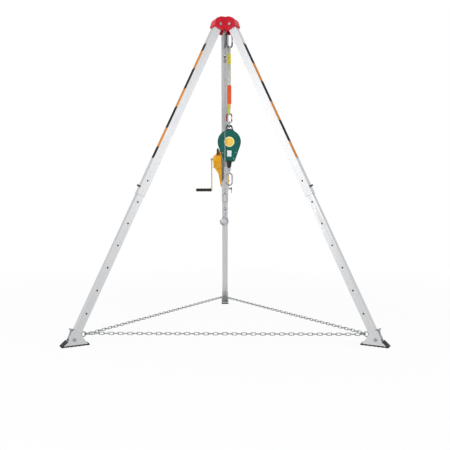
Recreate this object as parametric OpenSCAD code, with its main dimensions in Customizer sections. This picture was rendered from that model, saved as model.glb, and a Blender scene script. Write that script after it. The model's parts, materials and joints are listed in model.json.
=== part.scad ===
// Rescue tripod with a hand winch, a pulley line and a fall-arrest block.
// Millimetres, +Z up. The tripod stands on z = 0 and its soles' outline is centred on the origin.
// Legs are placed by azimuth: rear 90, left 210, right 330. The camera side is -Y.

/* [Tripod] */
// Height of the leg hinges above the floor
hinge_z = 2084; // [1700:1:2300]
// Distance of each leg hinge from the tripod's axis
hinge_r = 57; // [57:1:66]
// Spread of each leg from the vertical, in degrees
leg_angle = 25.8; // [22:0.1:28]
// How far each leg folds inward, in degrees
fold_angle = 12; // [5:1:12]

/* [Leg tubes] */
// Width of the square upper tube
upper_w = 52; // [48:0.5:54]
// Wall of the upper tube
upper_wall = 2.5; // [2:0.1:3]
// Gap between the upper and lower tube, each side
tube_gap = 0.5; // [0.3:0.05:0.8]
// Wall of the lower tube
lower_wall = 2.5; // [2:0.1:3.5]
// Length of the upper tube below its hinge
upper_len = 1307; // [1290:1:1340]
// Length of the upper tube above its hinge
upper_above = 22; // [18:1:24]
// Distance from the lock hole to the upper tube's lower end
lock_to_end = 102; // [90:1:130]
// Length of lower tube above the lock hole
lower_inside = 205; // [190:1:260]
// Pitch of the adjusting holes
hole_pitch = 150; // [120:1:160]
// Adjusting holes below the lock hole
holes_below = 6; // [4:1:6]
// Radius of the adjusting holes
lock_hole_r = 5.5; // [4.5:0.1:7]

/* [Lock plunger] */
// Radial play of the plunger in its hole
lock_play = 0.4; // [0.2:0.05:0.6]
// Radius of the plunger's boss on the upper tube
boss_r = 11; // [9:0.5:14]
// Length of the boss
boss_len = 12; // [9:0.5:18]
// Travel of the plunger into the lower tube
lock_travel = 10; // [6:0.5:12]
// Radius of the pull ring
pull_ring_r = 14; // [10:0.5:18]
// Wire radius of the pull ring
pull_wire_r = 2; // [1.5:0.1:3]

/* [Head] */
// Height of the head above the hinges
head_rise = 56; // [52:1:70]
// Wall of the head's cheeks
cheek_wall = 7.5; // [6:0.1:10]
// Gap beside each upper tube in its channel
channel_gap = 0.6; // [0.4:0.05:1]
// Gap between an open leg and its stop
stop_gap = 0.3; // [0.2:0.05:0.5]
// Reach of the head's lobes from the axis
lobe_r = 102; // [98:1:115]
// Radius of the hinge bolts
hinge_bolt_r = 6; // [5:0.1:7]
// Radial play of a bolt in the piece that turns on it
pivot_play = 0.1; // [0.05:0.01:0.2]
// Distance of the anchor lugs from the axis
lug_r = 34; // [33:0.5:36]
// Depth of the anchor eyes below the hinges
lug_drop = 32; // [30:1:38]
// Radius of the anchor eyes
eye_r = 9; // [8:0.1:10]
// Outer radius of the lugs
lug_outer_r = 17; // [15:0.1:18]
// Thickness of the lugs
lug_t = 12; // [10:0.5:13]

/* [Feet] */
// Height of the foot pivots above the floor
pivot_z = 40; // [40:0.5:46]
// Length of the tube below the foot pivot
tube_below_pivot = 13; // [10:0.5:13]
// Reach of the sole outward from the pivot
foot_toe = 76; // [74:1:90]
// Reach of the sole inward from the pivot
foot_heel = 89; // [80:1:100]
// Thickness of the rubber sole
sole_t = 8; // [6:0.5:8]
// Width of the rubber sole
sole_w = 60; // [58:0.5:70]
// Thickness of the foot's plates
foot_plate = 4; // [3:0.1:4]
// Gap between the lower tube and the foot's cheeks
foot_gap = 0.5; // [0.3:0.05:0.8]
// Radius of the foot pivot bolts
foot_bolt_r = 6; // [4:0.1:7]
// Grooves under each sole
sole_grooves = 6; // [3:1:7]

/* [Chain] */
// Distance from the foot pivot up to the eye bolt
eye_above_pivot = 47; // [42:1:60]
// Radius of the eye bolt's shank
eye_bolt_r = 5; // [4:0.1:6]
// Ring radius of the eye bolt, to the wire's middle
eye_ring_r = 14; // [13:0.1:16]
// Wire radius of the eye bolt's ring
eye_wire_r = 3.5; // [3:0.1:4]
// Wire diameter of the chain
chain_wire = 5; // [4:0.1:5.5]
// Inside width of a link
link_inside_w = 10; // [9.5:0.1:12]
// Nominal inside length of a link
link_pitch = 28.6; // [26:0.1:34]
// Gap between links
link_gap = 0.3; // [0.2:0.05:0.5]

/* [Winch] */
// Distance from the bracket's foot to the lock plunger's middle
bracket_clear = 32; // [30:1:60]
// Distance from the leg's middle inward to the drum
winch_in = 80; // [80:1:100]
// Thickness of the bracket's cheeks
bracket_t = 5; // [4:0.1:6]
// Gap between the bracket and the leg
bracket_gap = 0.4; // [0.3:0.05:0.8]
// Length of the bracket above the drum
bracket_above = 84; // [80:1:110]
// Length of the bracket below the drum
bracket_below = 224; // [180:1:240]
// Width of the bracket's tapered lip
lip_w = 20; // [14:0.5:24]
// Radius of the drum's core with its lower layers of cable
drum_core_r = 33.3; // [30:0.1:34]
// Radius of the drum's flanges
drum_flange_r = 46; // [43:0.5:48]
// Thickness of the drum's flanges
drum_flange_t = 3; // [2:0.1:4]
// Teeth of the drum gear
gear_teeth = 40; // [40:1:44]
// Teeth of the pinion
pinion_teeth = 12; // [12:1:14]
// Gear module
gear_module = 2; // [1.9:0.01:2.1]
// Thickness of the drum gear
gear_t = 12; // [8:0.5:14]
// Direction from the drum to the crank shaft, in degrees above the horizontal
crank_rise = 14.5; // [5:0.5:20]
// Radius of the crank shaft
crank_shaft_r = 7; // [6:0.1:8]
// Reach of the crank arm
crank_len = 232; // [180:1:240]
// Thickness of the crank arm
crank_t = 8; // [6:0.5:9]
// Length of the crank's grip
grip_len = 112; // [90:1:130]
// Radius of the crank's grip
grip_r = 12; // [10:0.5:16]
// Outer reach of the gear cover from the leg's middle
cover_reach = 88; // [84:0.5:96]
// Wall of the gear cover
cover_wall = 3; // [2:0.1:4]
// Teeth of the ratchet wheel
ratchet_teeth = 12; // [12:3:12]

/* [Cable and pulley] */
// Diameter of the winch cable
cable_d = 4.8; // [4:0.1:5]
// Loops of the outer layer on the drum
drum_loops = 3.5; // [2.5:0.5:3.5]
// Gap between loops
loop_gap = 0.6; // [0.5:0.05:0.8]
// Radius of the sheave at the cable's middle
sheave_r = 18.4; // [17:0.1:19]
// Drop from the link to the sheave
sheave_drop = 87; // [85:1:100]
// Height of the oval link
link_h = 124; // [110:1:130]
// Width of the oval link
link_w = 54; // [50:1:56]
// Wire diameter of the oval link
link_wire = 10; // [8:0.1:11]
// Free length of cable from the sheave to the ferrule
fall_len = 880; // [700:1:920]

/* [Hooks] */
// Bowl radius of the winch hook, to the wire's middle
hook_r = 24; // [20:0.5:25]
// Wire diameter of the winch hook
hook_wire = 14; // [11:0.1:14]
// Width of the block's hook
block_hook_w = 52; // [48:0.5:54]
// Height of the block's hook
block_hook_h = 94; // [90:0.5:104]
// Wire diameter of the block's hook
block_hook_wire = 11; // [10:0.1:11]

/* [Fall-arrest line] */
// Height of the upper carabiner
arrest_h = 112; // [105:1:120]
// Width of the upper carabiner
arrest_w = 58; // [56:1:62]
// Wire diameter of the upper carabiner
arrest_wire = 11; // [10:0.1:11.5]
// Height of the lower carabiner
block_carabiner_h = 75; // [72:1:90]
// Width of the lower carabiner
block_carabiner_w = 44; // [42:1:48]
// Wire diameter of the lower carabiner
block_carabiner_wire = 9; // [8:0.1:9.5]
// Width of the webbing
strap_w = 22; // [18:0.5:24]
// Thickness of the doubled webbing
strap_t = 7; // [6:0.1:8]
// Length of webbing from the upper carabiner to the sleeve
strap_head = 42; // [38:1:50]
// Length of the yellow sleeve
sleeve_len = 77; // [60:1:90]
// Length of webbing from the sleeve to the absorber
strap_len = 142; // [110:1:160]
// Length of the energy absorber
absorber_len = 131; // [110:1:150]
// Width of the energy absorber
absorber_w = 29; // [26:0.5:34]
// Length of webbing from the absorber to the lower carabiner
strap_tail = 66; // [55:1:80]

/* [Fall-arrest block] */
// Radius of the casing's round part
case_r = 80.5; // [78:0.5:86]
// Thickness of the casing
case_t = 76; // [72:1:84]
// Wall of the casing
case_wall = 3; // [2:0.1:4]
// Distance from the handle's top down to the drum
case_drop = 120; // [118:1:124]
// Distance from the drum down to the casing's foot corners
case_foot_drop = 115; // [110:1:125]
// Half the distance between the foot corners' centres
case_foot_half = 24; // [20:0.5:28]
// Radius of the foot corners
case_foot_r = 20; // [18:0.5:22]
// Radius of the cable drum inside
block_drum_r = 58; // [50:0.5:62]
// Thickness of the handle's bar
handle_t = 14; // [12:0.5:15]
// Length of the cable nozzle below the casing
nozzle_len = 39; // [34:0.5:50]
// Radius of the cable nozzle
nozzle_r = 18.5; // [14:0.5:19]
// Diameter of the block's cable
block_cable_d = 5; // [4:0.1:6]

/* [Hidden] */
$fn = 48;

// Leg azimuths and the side of each leg that carries its lock plunger
REAR = 90;
LEFT = 210;
RIGHT = 330;
LEFT_LOCK = -1;
RIGHT_LOCK = 1;
REAR_LOCK = -1;

// Colours
red_paint = [0.78, 0.08, 0.13];
silver = [0.82, 0.83, 0.85];
steel = [0.66, 0.67, 0.69];
black_rubber = [0.06, 0.06, 0.07];
winch_yellow = [0.93, 0.69, 0.12];
block_green = [0.08, 0.38, 0.34];
absorber_orange = [0.88, 0.28, 0.12];
strap_olive = [0.55, 0.54, 0.42];
maroon = [0.40, 0.07, 0.12];

// Leg sizes that follow from the driving dimensions
lower_w = upper_w - 2 * (upper_wall + tube_gap);
lock_down = upper_len - lock_to_end;
lower_top = lock_down - lower_inside;
pivot_down = (hinge_z - pivot_z) / cos(leg_angle);
pivot_r = hinge_r + pivot_down * sin(leg_angle);
eye_down = pivot_down - eye_above_pivot;
cheek_half = upper_w / 2 + channel_gap + cheek_wall;
plunger_tip = lower_w / 2 + tube_gap / 2;
plunger_r = lock_hole_r - lock_play;
lug_z = hinge_z - lug_drop;
foot_inside = lower_w + 2 * foot_gap;
foot_w = foot_inside + 2 * foot_plate;
bolt_head_t = 7;
bolt_play = 0.3;
nut_r = 1.75;
tiny = 0.01;
side_lap = 0.1;
wire_lap = 0.5;
wire_step = 0.03;

// The soles' outline is centred on the origin, so the tripod's axis stands at axis_y
toe_r = pivot_r + foot_toe;
axis_y = (toe_r * sin(30) + sole_w / 2 * cos(30) - toe_r) / 2;

function radial(az) = [cos(az), sin(az), 0];
function tangent(az) = [-sin(az), cos(az), 0];
function leg_out(out, down, angle) = hinge_r + down * sin(angle) + out * cos(angle);
function leg_up(out, down, angle) = hinge_z - down * cos(angle) + out * sin(angle);
function leg_place(out, down, angle) = [leg_out(out, down, angle), leg_up(out, down, angle)];
function leg_point(az, out, side, down) = [0, axis_y, 0] + radial(az) * leg_out(out, down, leg_angle)
    + tangent(az) * side + [0, 0, leg_up(out, down, leg_angle)];
function turned(p, angle) = [p.x * cos(angle) - p.y * sin(angle), p.x * sin(angle) + p.y * cos(angle)];

// Placing helpers. On a leg, +X points out of its outer face, +Y along the tangent and +Z up the leg.
module on_axis() {
    translate([0, axis_y, 0]) children();
}

module on_radius(az) {
    on_axis() rotate([0, 0, az]) children();
}

module on_leg(az) {
    on_radius(az) translate([hinge_r, 0, hinge_z]) rotate([0, -leg_angle, 0]) children();
}

module on_side(side) {
    mirror([0, side < 0 ? 1 : 0, 0]) children();
}

// A shape drawn in X and Z, made thick along Y
module across(width) {
    rotate([90, 0, 0]) linear_extrude(height = width, center = true) children();
}

// A shape drawn in X and Z, made thick along Y from one side to the other
module from_to_y(y0, y1) {
    translate([0, (y0 + y1) / 2, 0]) across(y1 - y0) children();
}

module x_rod(r, x0, x1) {
    translate([x0, 0, 0]) rotate([0, 90, 0]) cylinder(r = r, h = x1 - x0);
}

module y_rod(r, y0, y1) {
    translate([0, y0, 0]) rotate([-90, 0, 0]) cylinder(r = r, h = y1 - y0);
}

// A hexagon bolt head or nut along Y
module y_hex(r, y0, y1) {
    translate([0, y0, 0]) rotate([-90, 0, 0]) cylinder(r = r * nut_r, h = y1 - y0, $fn = 6);
}

// A part of a round ring in the XZ plane, turned from one angle to another
module ring_arc(ring_r, wire_r, from, to) {
    rotate([90, 0, 0]) rotate([0, 0, from])
        rotate_extrude(angle = to - from) translate([ring_r, 0]) circle(r = wire_r);
}

module ring(ring_r, wire_r) {
    rotate([90, 0, 0]) rotate_extrude() translate([ring_r, 0]) circle(r = wire_r);
}

// A straight length of the wire, a hair thinner than the bends and set a little into them
module wire_length(wire_r, z0, z1) {
    translate([0, 0, z0 - wire_lap]) cylinder(r = wire_r - wire_step, h = z1 - z0 + 2 * wire_lap);
}

// A closed oval of round wire in the XZ plane, hanging from its top middle line at z = 0
module oval(half, straight, wire_r) {
    translate([0, 0, -half]) ring_arc(half, wire_r, 0, 180);
    translate([0, 0, -half - straight]) ring_arc(half, wire_r, 180, 360);
    for (x = [-half, half])
        translate([x, 0, 0]) wire_length(wire_r, -half - straight, -half);
}

// The outline round two circles, with their outer tangents
module tangent_outline(c1, r1, c2, r2) {
    way = c2 - c1;
    lean = acos((r1 - r2) / norm(way));
    heading = atan2(way.y, way.x);
    up = [cos(heading + lean), sin(heading + lean)];
    down = [cos(heading - lean), sin(heading - lean)];
    translate(c1) circle(r = r1);
    translate(c2) circle(r = r2);
    polygon([c1 + r1 * up, c2 + r2 * up, c2 + r2 * down, c1 + r1 * down]);
}

// Tripod head

module lobe_outline() {
    polygon([[-10, hinge_z + head_rise], [hinge_r - 17, hinge_z + head_rise],
        [hinge_r, hinge_z + head_rise - 4], [lobe_r - 22, hinge_z + head_rise - 16],
        [lobe_r - 14, hinge_z + head_rise - 26], [lobe_r, hinge_z - 13], [lobe_r - 4, hinge_z - 17],
        [lug_r + 8, hinge_z - lug_drop - 6], [lug_r - 2, hinge_z - lug_drop + 14],
        [-10, hinge_z - lug_drop + 14]]);
}

module channel_outline() {
    inside = upper_w / 2 + channel_gap;
    stop = upper_w / 2 + stop_gap;
    folded = leg_angle - fold_angle;
    halfway = leg_angle - fold_angle / 2;
    polygon([leg_place(-inside, 130, folded), leg_place(-inside / cos(fold_angle / 2), 0, halfway),
        leg_place(-inside, -upper_above - 3, leg_angle),
        [hinge_r - 12, hinge_z + upper_above + 14], [hinge_r + 16, hinge_z + upper_above + 14],
        leg_place(inside, -upper_above - 3, folded), leg_place(stop / cos(fold_angle / 2), 0, halfway),
        leg_place(stop, 130, leg_angle)]);
}

module lug() {
    rotate([90, 0, 90]) linear_extrude(height = lug_t, center = true) {
        translate([0, lug_z]) circle(r = lug_outer_r);
        polygon([[-lug_outer_r, lug_z], [lug_outer_r, lug_z], [lug_outer_r - 8, hinge_z + 20],
            [8 - lug_outer_r, hinge_z + 20]]);
    }
}

module head() {
    color(red_paint) difference() {
        union() {
            for (az = [REAR, LEFT, RIGHT]) {
                on_radius(az) across(2 * cheek_half) lobe_outline();
                on_radius(az + 60) translate([lug_r, 0, 0]) lug();
            }
        }
        for (az = [REAR, LEFT, RIGHT]) {
            on_radius(az) across(upper_w + 2 * channel_gap) channel_outline();
            on_radius(az) translate([hinge_r, 0, hinge_z])
                y_rod(hinge_bolt_r, -cheek_half - 1, cheek_half + 1);
            on_radius(az + 60) translate([0, 0, lug_z]) x_rod(eye_r, lug_r - lug_t, lug_r + lug_t);
        }
    }
}

module hinge_bolts() {
    color(steel) for (az = [REAR, LEFT, RIGHT])
        on_radius(az) translate([hinge_r, 0, hinge_z]) {
            y_rod(hinge_bolt_r, -cheek_half - bolt_head_t, cheek_half + bolt_head_t + 3);
            y_hex(hinge_bolt_r, -cheek_half - bolt_head_t, -cheek_half);
            y_hex(hinge_bolt_r, cheek_half, cheek_half + bolt_head_t);
        }
}

// Leg tubes

module square_tube(width, wall, top, bottom) {
    difference() {
        translate([-width / 2, -width / 2, bottom]) cube([width, width, top - bottom]);
        translate([wall - width / 2, wall - width / 2, bottom - 1])
            cube([width - 2 * wall, width - 2 * wall, top - bottom + 2]);
    }
}

module upper_tube(az, side) {
    color(silver) on_leg(az) on_side(side) difference() {
        union() {
            square_tube(upper_w, upper_wall, upper_above, -upper_len);
            translate([0, 0, -lock_down]) y_rod(boss_r, upper_w / 2 - tiny, upper_w / 2 + boss_len);
        }
        y_rod(hinge_bolt_r + pivot_play, -upper_w, upper_w);
        translate([0, 0, -lock_down]) y_rod(lock_hole_r, -upper_w, upper_w / 2 + boss_len + 1);
    }
}

module lower_tube(az) {
    color(silver) on_leg(az) difference() {
        square_tube(lower_w, lower_wall, -lower_top, -pivot_down - tube_below_pivot);
        for (row = [-1 : holes_below])
            translate([0, 0, -lock_down - row * hole_pitch]) y_rod(lock_hole_r, -lower_w, lower_w);
        translate([0, 0, -eye_down]) x_rod(eye_bolt_r, -lower_w, lower_w);
        translate([0, 0, -pivot_down]) y_rod(foot_bolt_r, -lower_w, lower_w);
    }
}

// The plunger is drawn back, so its tip just clears the lower tube
module lock_plunger(az, side) {
    head_y = upper_w / 2 + boss_len + lock_travel + 0.5;
    color([0.12, 0.12, 0.13]) on_leg(az) on_side(side) translate([0, 0, -lock_down]) {
        y_rod(plunger_r, plunger_tip, head_y + tiny);
        y_rod(boss_r, head_y, head_y + 7);
        translate([0, head_y + 3.5, -pull_ring_r - boss_r + pull_wire_r]) ring(pull_ring_r, pull_wire_r);
    }
}

// The foot's pivot bolt, and the eye bolt that holds the chains
module leg_bolts(az) {
    outer = foot_w / 2 + bolt_play;
    color(steel) on_leg(az) {
        translate([0, 0, -pivot_down]) {
            y_rod(foot_bolt_r, -outer - bolt_head_t, outer + bolt_head_t + 2);
            y_hex(foot_bolt_r, -outer - bolt_head_t, -outer);
            y_hex(foot_bolt_r, outer, outer + bolt_head_t);
        }
        translate([0, 0, -eye_down]) {
            x_rod(eye_bolt_r, -lower_w / 2 - eye_bolt_r - 5, lower_w / 2 + 27);
            rotate([0, 0, -90]) y_hex(eye_bolt_r, lower_w / 2, lower_w / 2 + bolt_head_t);
            rotate([0, 0, 90]) y_hex(eye_bolt_r, lower_w / 2, lower_w / 2 + 4);
            translate([-lower_w / 2 - 4 - eye_ring_r - eye_wire_r + 1, 0, 0]) ring(eye_ring_r, eye_wire_r);
        }
    }
}

// Feet, drawn in radius and height from the pivot

sole_top = sole_t - pivot_z;
toe_pad_t = 6;
toe_lean = [34, -27];
function toe_foot() = [foot_toe - toe_pad_t - 4, sole_top];
function toe_head() = toe_foot() - toe_lean * 0.85;

module foot_outline() {
    polygon([[9 - foot_heel, sole_top], toe_foot(), toe_head(), [22, 24], [14, 52], [4, 57], [-36, 33],
        [-40, 24]]);
}

module foot_hollow() {
    inner = toe_foot() + [-8, foot_plate];
    far = 2 * foot_heel;
    polygon([[-far, sole_top + foot_plate], inner, toe_head() - [6, 0], toe_head() + [far, 0],
        [far, far], [-far, far]]);
}

module foot(az) {
    color(silver) on_radius(az) translate([pivot_r, 0, pivot_z]) difference() {
        across(foot_w) foot_outline();
        across(foot_inside) foot_hollow();
        y_rod(foot_bolt_r + pivot_play, -foot_w, foot_w);
    }
}

module sole(az) {
    groove_step = (foot_heel + foot_toe - 20) / sole_grooves;
    groove_w = 5;
    groove_depth = 2.5;
    color(black_rubber) on_radius(az) translate([pivot_r, 0, pivot_z]) difference() {
        across(sole_w) polygon([[-foot_heel, -pivot_z], [foot_toe, -pivot_z], [foot_toe, 4 - pivot_z],
            toe_head() + [toe_pad_t * 0.7, toe_pad_t * 0.7], toe_head(), toe_foot(), [-foot_heel, sole_top]]);
        for (i = [0 : sole_grooves - 1])
            translate([10 - foot_heel + (i + 0.5) * groove_step, 0, -pivot_z])
                cube([groove_w, 2 * sole_w, 2 * groove_depth], center = true);
    }
}

// Chains: links of round wire, alternately flat and upright, between the innermost wires of two eyes

ring_middle = lower_w / 2 + 4 + eye_ring_r + eye_wire_r - 1;
link_stack = (chain_wire + 1.4) / 2;
link_half = (link_inside_w + chain_wire) / 2;
ring_lean = asin(link_stack / eye_ring_r);
ring_reach = eye_ring_r * cos(ring_lean);
link_seat = (eye_wire_r + chain_wire / 2 + link_gap) * sqrt(1 - pow(sin(ring_lean) / 2, 2)) / cos(ring_lean);
function chain_end(az, rise) = leg_point(az, -ring_middle, 0, eye_down) - radial(az) * ring_reach
    + [0, 0, rise];

module chain_link(inside_len) {
    rotate([0, -90, 0]) oval(link_half, inside_len - link_inside_w, chain_wire / 2);
}

module chain(from, to) {
    ends = [chain_end(from, link_stack), chain_end(to, -link_stack)];
    way = ends[1] - ends[0];
    total = norm(way) + 2 * link_seat;
    links = 2 * round((total / link_pitch - 1) / 2) + 1;
    inside_len = (total - chain_wire + (links - 1) * link_gap) / links;
    color(steel) translate(ends[0]) rotate([0, -asin(way.z / norm(way)), atan2(way.y, way.x)])
        for (i = [0 : links - 1])
            translate([i * (inside_len - link_gap) - link_seat, 0, 0])
                rotate([i % 2 == 0 ? 90 : 0, 0, 0]) chain_link(inside_len);
}

// Pulley line at the front lug

front_y = axis_y - lug_r;
wire_rest = lug_z - eye_r + bolt_play;
function bend_drop(inner_r, width) = inner_r - sqrt(inner_r * inner_r - width * width / 4);
pulley_link_half = (link_w - link_wire) / 2;
link_top = wire_rest + link_wire / 2 + bend_drop(pulley_link_half - link_wire / 2, lug_t);
pulley_link_foot = link_top - link_h + link_wire;
sheave_z = pulley_link_foot - sheave_drop;
sheave_groove = sheave_r - cable_d / 2 - 0.3;
sheave_rim = sheave_r + 2.6;
sheave_t = 12;
cheek_t = 3;
block_gap = 0.5;
block_half = sheave_t / 2 + block_gap + cheek_t;
pulley_eye_r = 11.5;
pulley_eye_wire = 4.5;
pulley_eye_z = pulley_link_foot - pulley_eye_r + pulley_eye_wire + link_wire / 2 + bolt_play;

module pulley_link() {
    straight = link_h - link_wire - 2 * pulley_link_half;
    color(steel) translate([0, front_y, link_top]) rotate([0, 0, 90]) {
        oval(pulley_link_half, straight, link_wire / 2);
        translate([pulley_link_half, 0, -link_h / 2 - 12]) cylinder(r = link_wire * 0.68, h = 30);
    }
}

module pulley_block() {
    cheek_r = sheave_rim + 3;
    crown_z = sheave_z + cheek_r;
    color(steel) translate([0, front_y, 0]) {
        translate([0, 0, pulley_eye_z]) ring(pulley_eye_r, pulley_eye_wire);
        translate([0, 0, crown_z]) cylinder(r = 8, h = pulley_eye_z - pulley_eye_r - crown_z + 2);
        translate([-block_half, -cheek_r * 0.5, crown_z - 2]) cube([2 * block_half, cheek_r, 10]);
        for (side = [-1, 1])
            translate([side * (block_half - cheek_t / 2), 0, 0]) rotate([90, 0, 90])
                linear_extrude(height = cheek_t, center = true) {
                    translate([0, sheave_z]) circle(r = cheek_r);
                    polygon([[-cheek_r, sheave_z], [cheek_r, sheave_z], [cheek_r * 0.5, crown_z + 8],
                        [-cheek_r * 0.5, crown_z + 8]]);
                }
        translate([0, 0, sheave_z]) x_rod(4, -block_half - 2.5, block_half + 2.5);
        for (side = [-1, 1])
            translate([side * (block_half + 2), 0, sheave_z]) x_rod(7, -2, 2);
    }
}

module pulley_sheave() {
    color(silver) translate([0, front_y, sheave_z]) rotate([0, 90, 0]) rotate_extrude()
        difference() {
            translate([4 + pivot_play, -sheave_t / 2])
                square([sheave_rim - 4 - pivot_play, sheave_t]);
            translate([sheave_groove + cable_d / 2 + 0.3, 0]) circle(r = cable_d / 2 + 0.3);
            translate([sheave_groove + cable_d / 2 + 0.3, -cable_d / 2 - 0.3])
                square([sheave_rim, cable_d + 0.6]);
        }
}

// Winch on the rear leg. In the leg's frame its shafts run along Y, and +Y is the crank's side.

winch_down = upper_len - lock_to_end - bracket_clear - bracket_below;
drum_place = [-winch_in, -winch_down];
gear_r = gear_teeth * gear_module / 2;
pinion_r = pinion_teeth * gear_module / 2;
crank_place = drum_place + turned([-(gear_r + pinion_r), 0], -crank_rise - leg_angle);
bracket_in = upper_w / 2 + bracket_gap;
bracket_out = bracket_in + bracket_t;
drum_half = bracket_in - 0.6;
drum_shaft_r = 7;
hub_r = 12;
clamp_pin_r = 5;
clamp_out = upper_w / 2 + bracket_gap + clamp_pin_r;
gear_y = bracket_out + 3;
ratchet_y = gear_y + gear_t + 8;
ratchet_t = 6;
ratchet_r = 16;
pawl_r = 30;
crank_y = cover_reach + 9;
pressure = 25;

module winch_frame(place) {
    on_leg(REAR) translate([place.x, 0, place.y]) children();
}

module bracket_side() {
    top = -winch_down + bracket_above;
    foot = -winch_down - bracket_below;
    front = -upper_w / 2 - 14;
    back = clamp_out + clamp_pin_r + 5;
    polygon([[front, foot], [back - 10, foot], [back, foot + 20], [back, top - 20],
        [back - 14, top], [front + 8, top], [front, top - 40]]);
    tangent_outline(drum_place, drum_flange_r + 4, crank_place, crank_shaft_r + 13);
    polygon([[front, drum_place.y - 80], [front, drum_place.y + 60],
        drum_place + [0, drum_flange_r], drum_place - [0, drum_flange_r]]);
}

module winch_bracket() {
    front = -upper_w / 2 - 14;
    foot = -winch_down - bracket_below;
    web_t = 4;
    color(winch_yellow) on_leg(REAR) {
        difference() {
            union() {
                from_to_y(bracket_in, bracket_out) bracket_side();
                from_to_y(-bracket_out, -bracket_in) bracket_side();
                translate([-upper_w / 2 - bracket_gap - web_t, -bracket_in - tiny, 48 - winch_down])
                    cube([web_t, 2 * bracket_in + 2 * tiny, 24]);
            }
            translate([drum_place.x, 0, drum_place.y]) {
                y_rod(hub_r + 0.3, 0, 2 * bracket_out);
                y_rod(drum_shaft_r, -2 * bracket_out, 0);
            }
            translate([crank_place.x, 0, crank_place.y])
                y_rod(crank_shaft_r + pivot_play, 0, 2 * bracket_out);
            for (z = [foot + 22, -winch_down + bracket_above - 22])
                translate([clamp_out, 0, z]) y_rod(clamp_pin_r, -2 * bracket_out, 2 * bracket_out);
        }
        translate([front, 0, 0]) rotate([90, 0, 90]) linear_extrude(height = web_t)
            polygon([[bracket_out - tiny, foot], [bracket_out + 3, foot], [bracket_out + lip_w, -winch_down - 116],
                [bracket_out + lip_w + 12, -winch_down - 92], [cover_reach - 9, -winch_down - 70],
                [cover_reach - 9, -winch_down - 56], [bracket_out - tiny, -winch_down - 56]]);
    }
}

// Two clamp pins behind the leg, and the drum's axle pin
module winch_pins() {
    foot = -winch_down - bracket_below;
    color([0.15, 0.15, 0.16]) on_leg(REAR) {
        for (z = [foot + 22, -winch_down + bracket_above - 22])
            translate([clamp_out, 0, z]) {
                y_rod(clamp_pin_r, -bracket_out - 6, bracket_out + 4);
                y_rod(clamp_pin_r + 4, bracket_out, bracket_out + 8);
            }
        translate([drum_place.x, 0, drum_place.y]) {
            y_rod(drum_shaft_r, -bracket_out - 2, gear_y + gear_t + 2);
            y_rod(drum_shaft_r + 5, -bracket_out - 7, -bracket_out);
        }
    }
}

module winch_drum() {
    color(steel) winch_frame(drum_place) difference() {
        union() {
            y_rod(drum_core_r, -drum_half, drum_half);
            y_rod(drum_flange_r, -drum_half, drum_flange_t - drum_half);
            y_rod(drum_flange_r, drum_half - drum_flange_t, drum_half);
            y_rod(hub_r, drum_half - tiny, gear_y + gear_t);
        }
        y_rod(drum_shaft_r + pivot_play, -2 * bracket_out, 3 * bracket_out);
    }
}

// Involute gear outlines
function involute(angle) = tan(angle) * 180 / PI - angle;
function tooth_half(teeth, r) = let(base = teeth * gear_module / 2 * cos(pressure))
    90 / teeth + involute(pressure) - involute(acos(min(1, base / r)))
    - gear_slack / (2 * r) * 180 / PI;
gear_slack = 0.3;
flank_steps = 4;

module gear_outline(teeth) {
    tip = (teeth / 2 + 0.8) * gear_module;
    root = (teeth / 2 - 1.1) * gear_module;
    polygon([for (tooth = [0 : teeth - 1]) for (flank = [-1, 1]) for (step = [0 : flank_steps])
        let(k = flank < 0 ? step : flank_steps - step,
            r = root + (tip - root) * k / flank_steps,
            angle = tooth * 360 / teeth + flank * tooth_half(teeth, r))
            [r * cos(angle), r * sin(angle)]]);
}

mesh_way = crank_place - drum_place;
mesh_angle = atan2(mesh_way.y, mesh_way.x);

module drum_gear() {
    color(steel) winch_frame(drum_place) difference() {
        from_to_y(gear_y, gear_y + gear_t) rotate(mesh_angle) gear_outline(gear_teeth);
        y_rod(hub_r, gear_y - 1, gear_y + gear_t + 1);
    }
}

module pinion_shaft() {
    color(steel) winch_frame(crank_place) {
        from_to_y(gear_y - 1, gear_y + gear_t + 1)
            rotate(mesh_angle + 180 + 180 / pinion_teeth) gear_outline(pinion_teeth);
        y_rod(crank_shaft_r, bracket_in, crank_y + crank_t + 5);
    }
}

module cover_outline(wall) {
    tangent_outline(drum_place, gear_r + 8 - wall, crank_place, gear_r * 0.75 - wall);
}

pawl_way = turned(drum_place - crank_place, 40);
pawl_place = crank_place + pawl_way * pawl_r / norm(pawl_way);

module gear_cover() {
    color(winch_yellow) on_leg(REAR) {
        difference() {
            from_to_y(bracket_out, cover_reach) cover_outline(0);
            from_to_y(bracket_out - 1, cover_reach - cover_wall) cover_outline(cover_wall);
            translate([crank_place.x, 0, crank_place.y])
                y_rod(crank_shaft_r + pivot_play, bracket_out, cover_reach + 1);
        }
        translate([pawl_place.x, 0, pawl_place.y])
            y_rod(3, ratchet_y - 2, cover_reach - cover_wall + tiny);
    }
}

// Sawtooth wheel on the crank shaft
module ratchet_wheel() {
    step = 360 / ratchet_teeth;
    start = atan2(pawl_way.y, pawl_way.x) - 34;
    color(steel) winch_frame(crank_place) difference() {
        from_to_y(ratchet_y, ratchet_y + ratchet_t)
            polygon([for (i = [0 : ratchet_teeth - 1]) for (edge = [0, 1])
                let(r = ratchet_r - 4 * edge, angle = start + i * step)
                    [r * cos(angle), r * sin(angle)]]);
        y_rod(crank_shaft_r, ratchet_y - 1, ratchet_y + ratchet_t + 1);
    }
}

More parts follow.
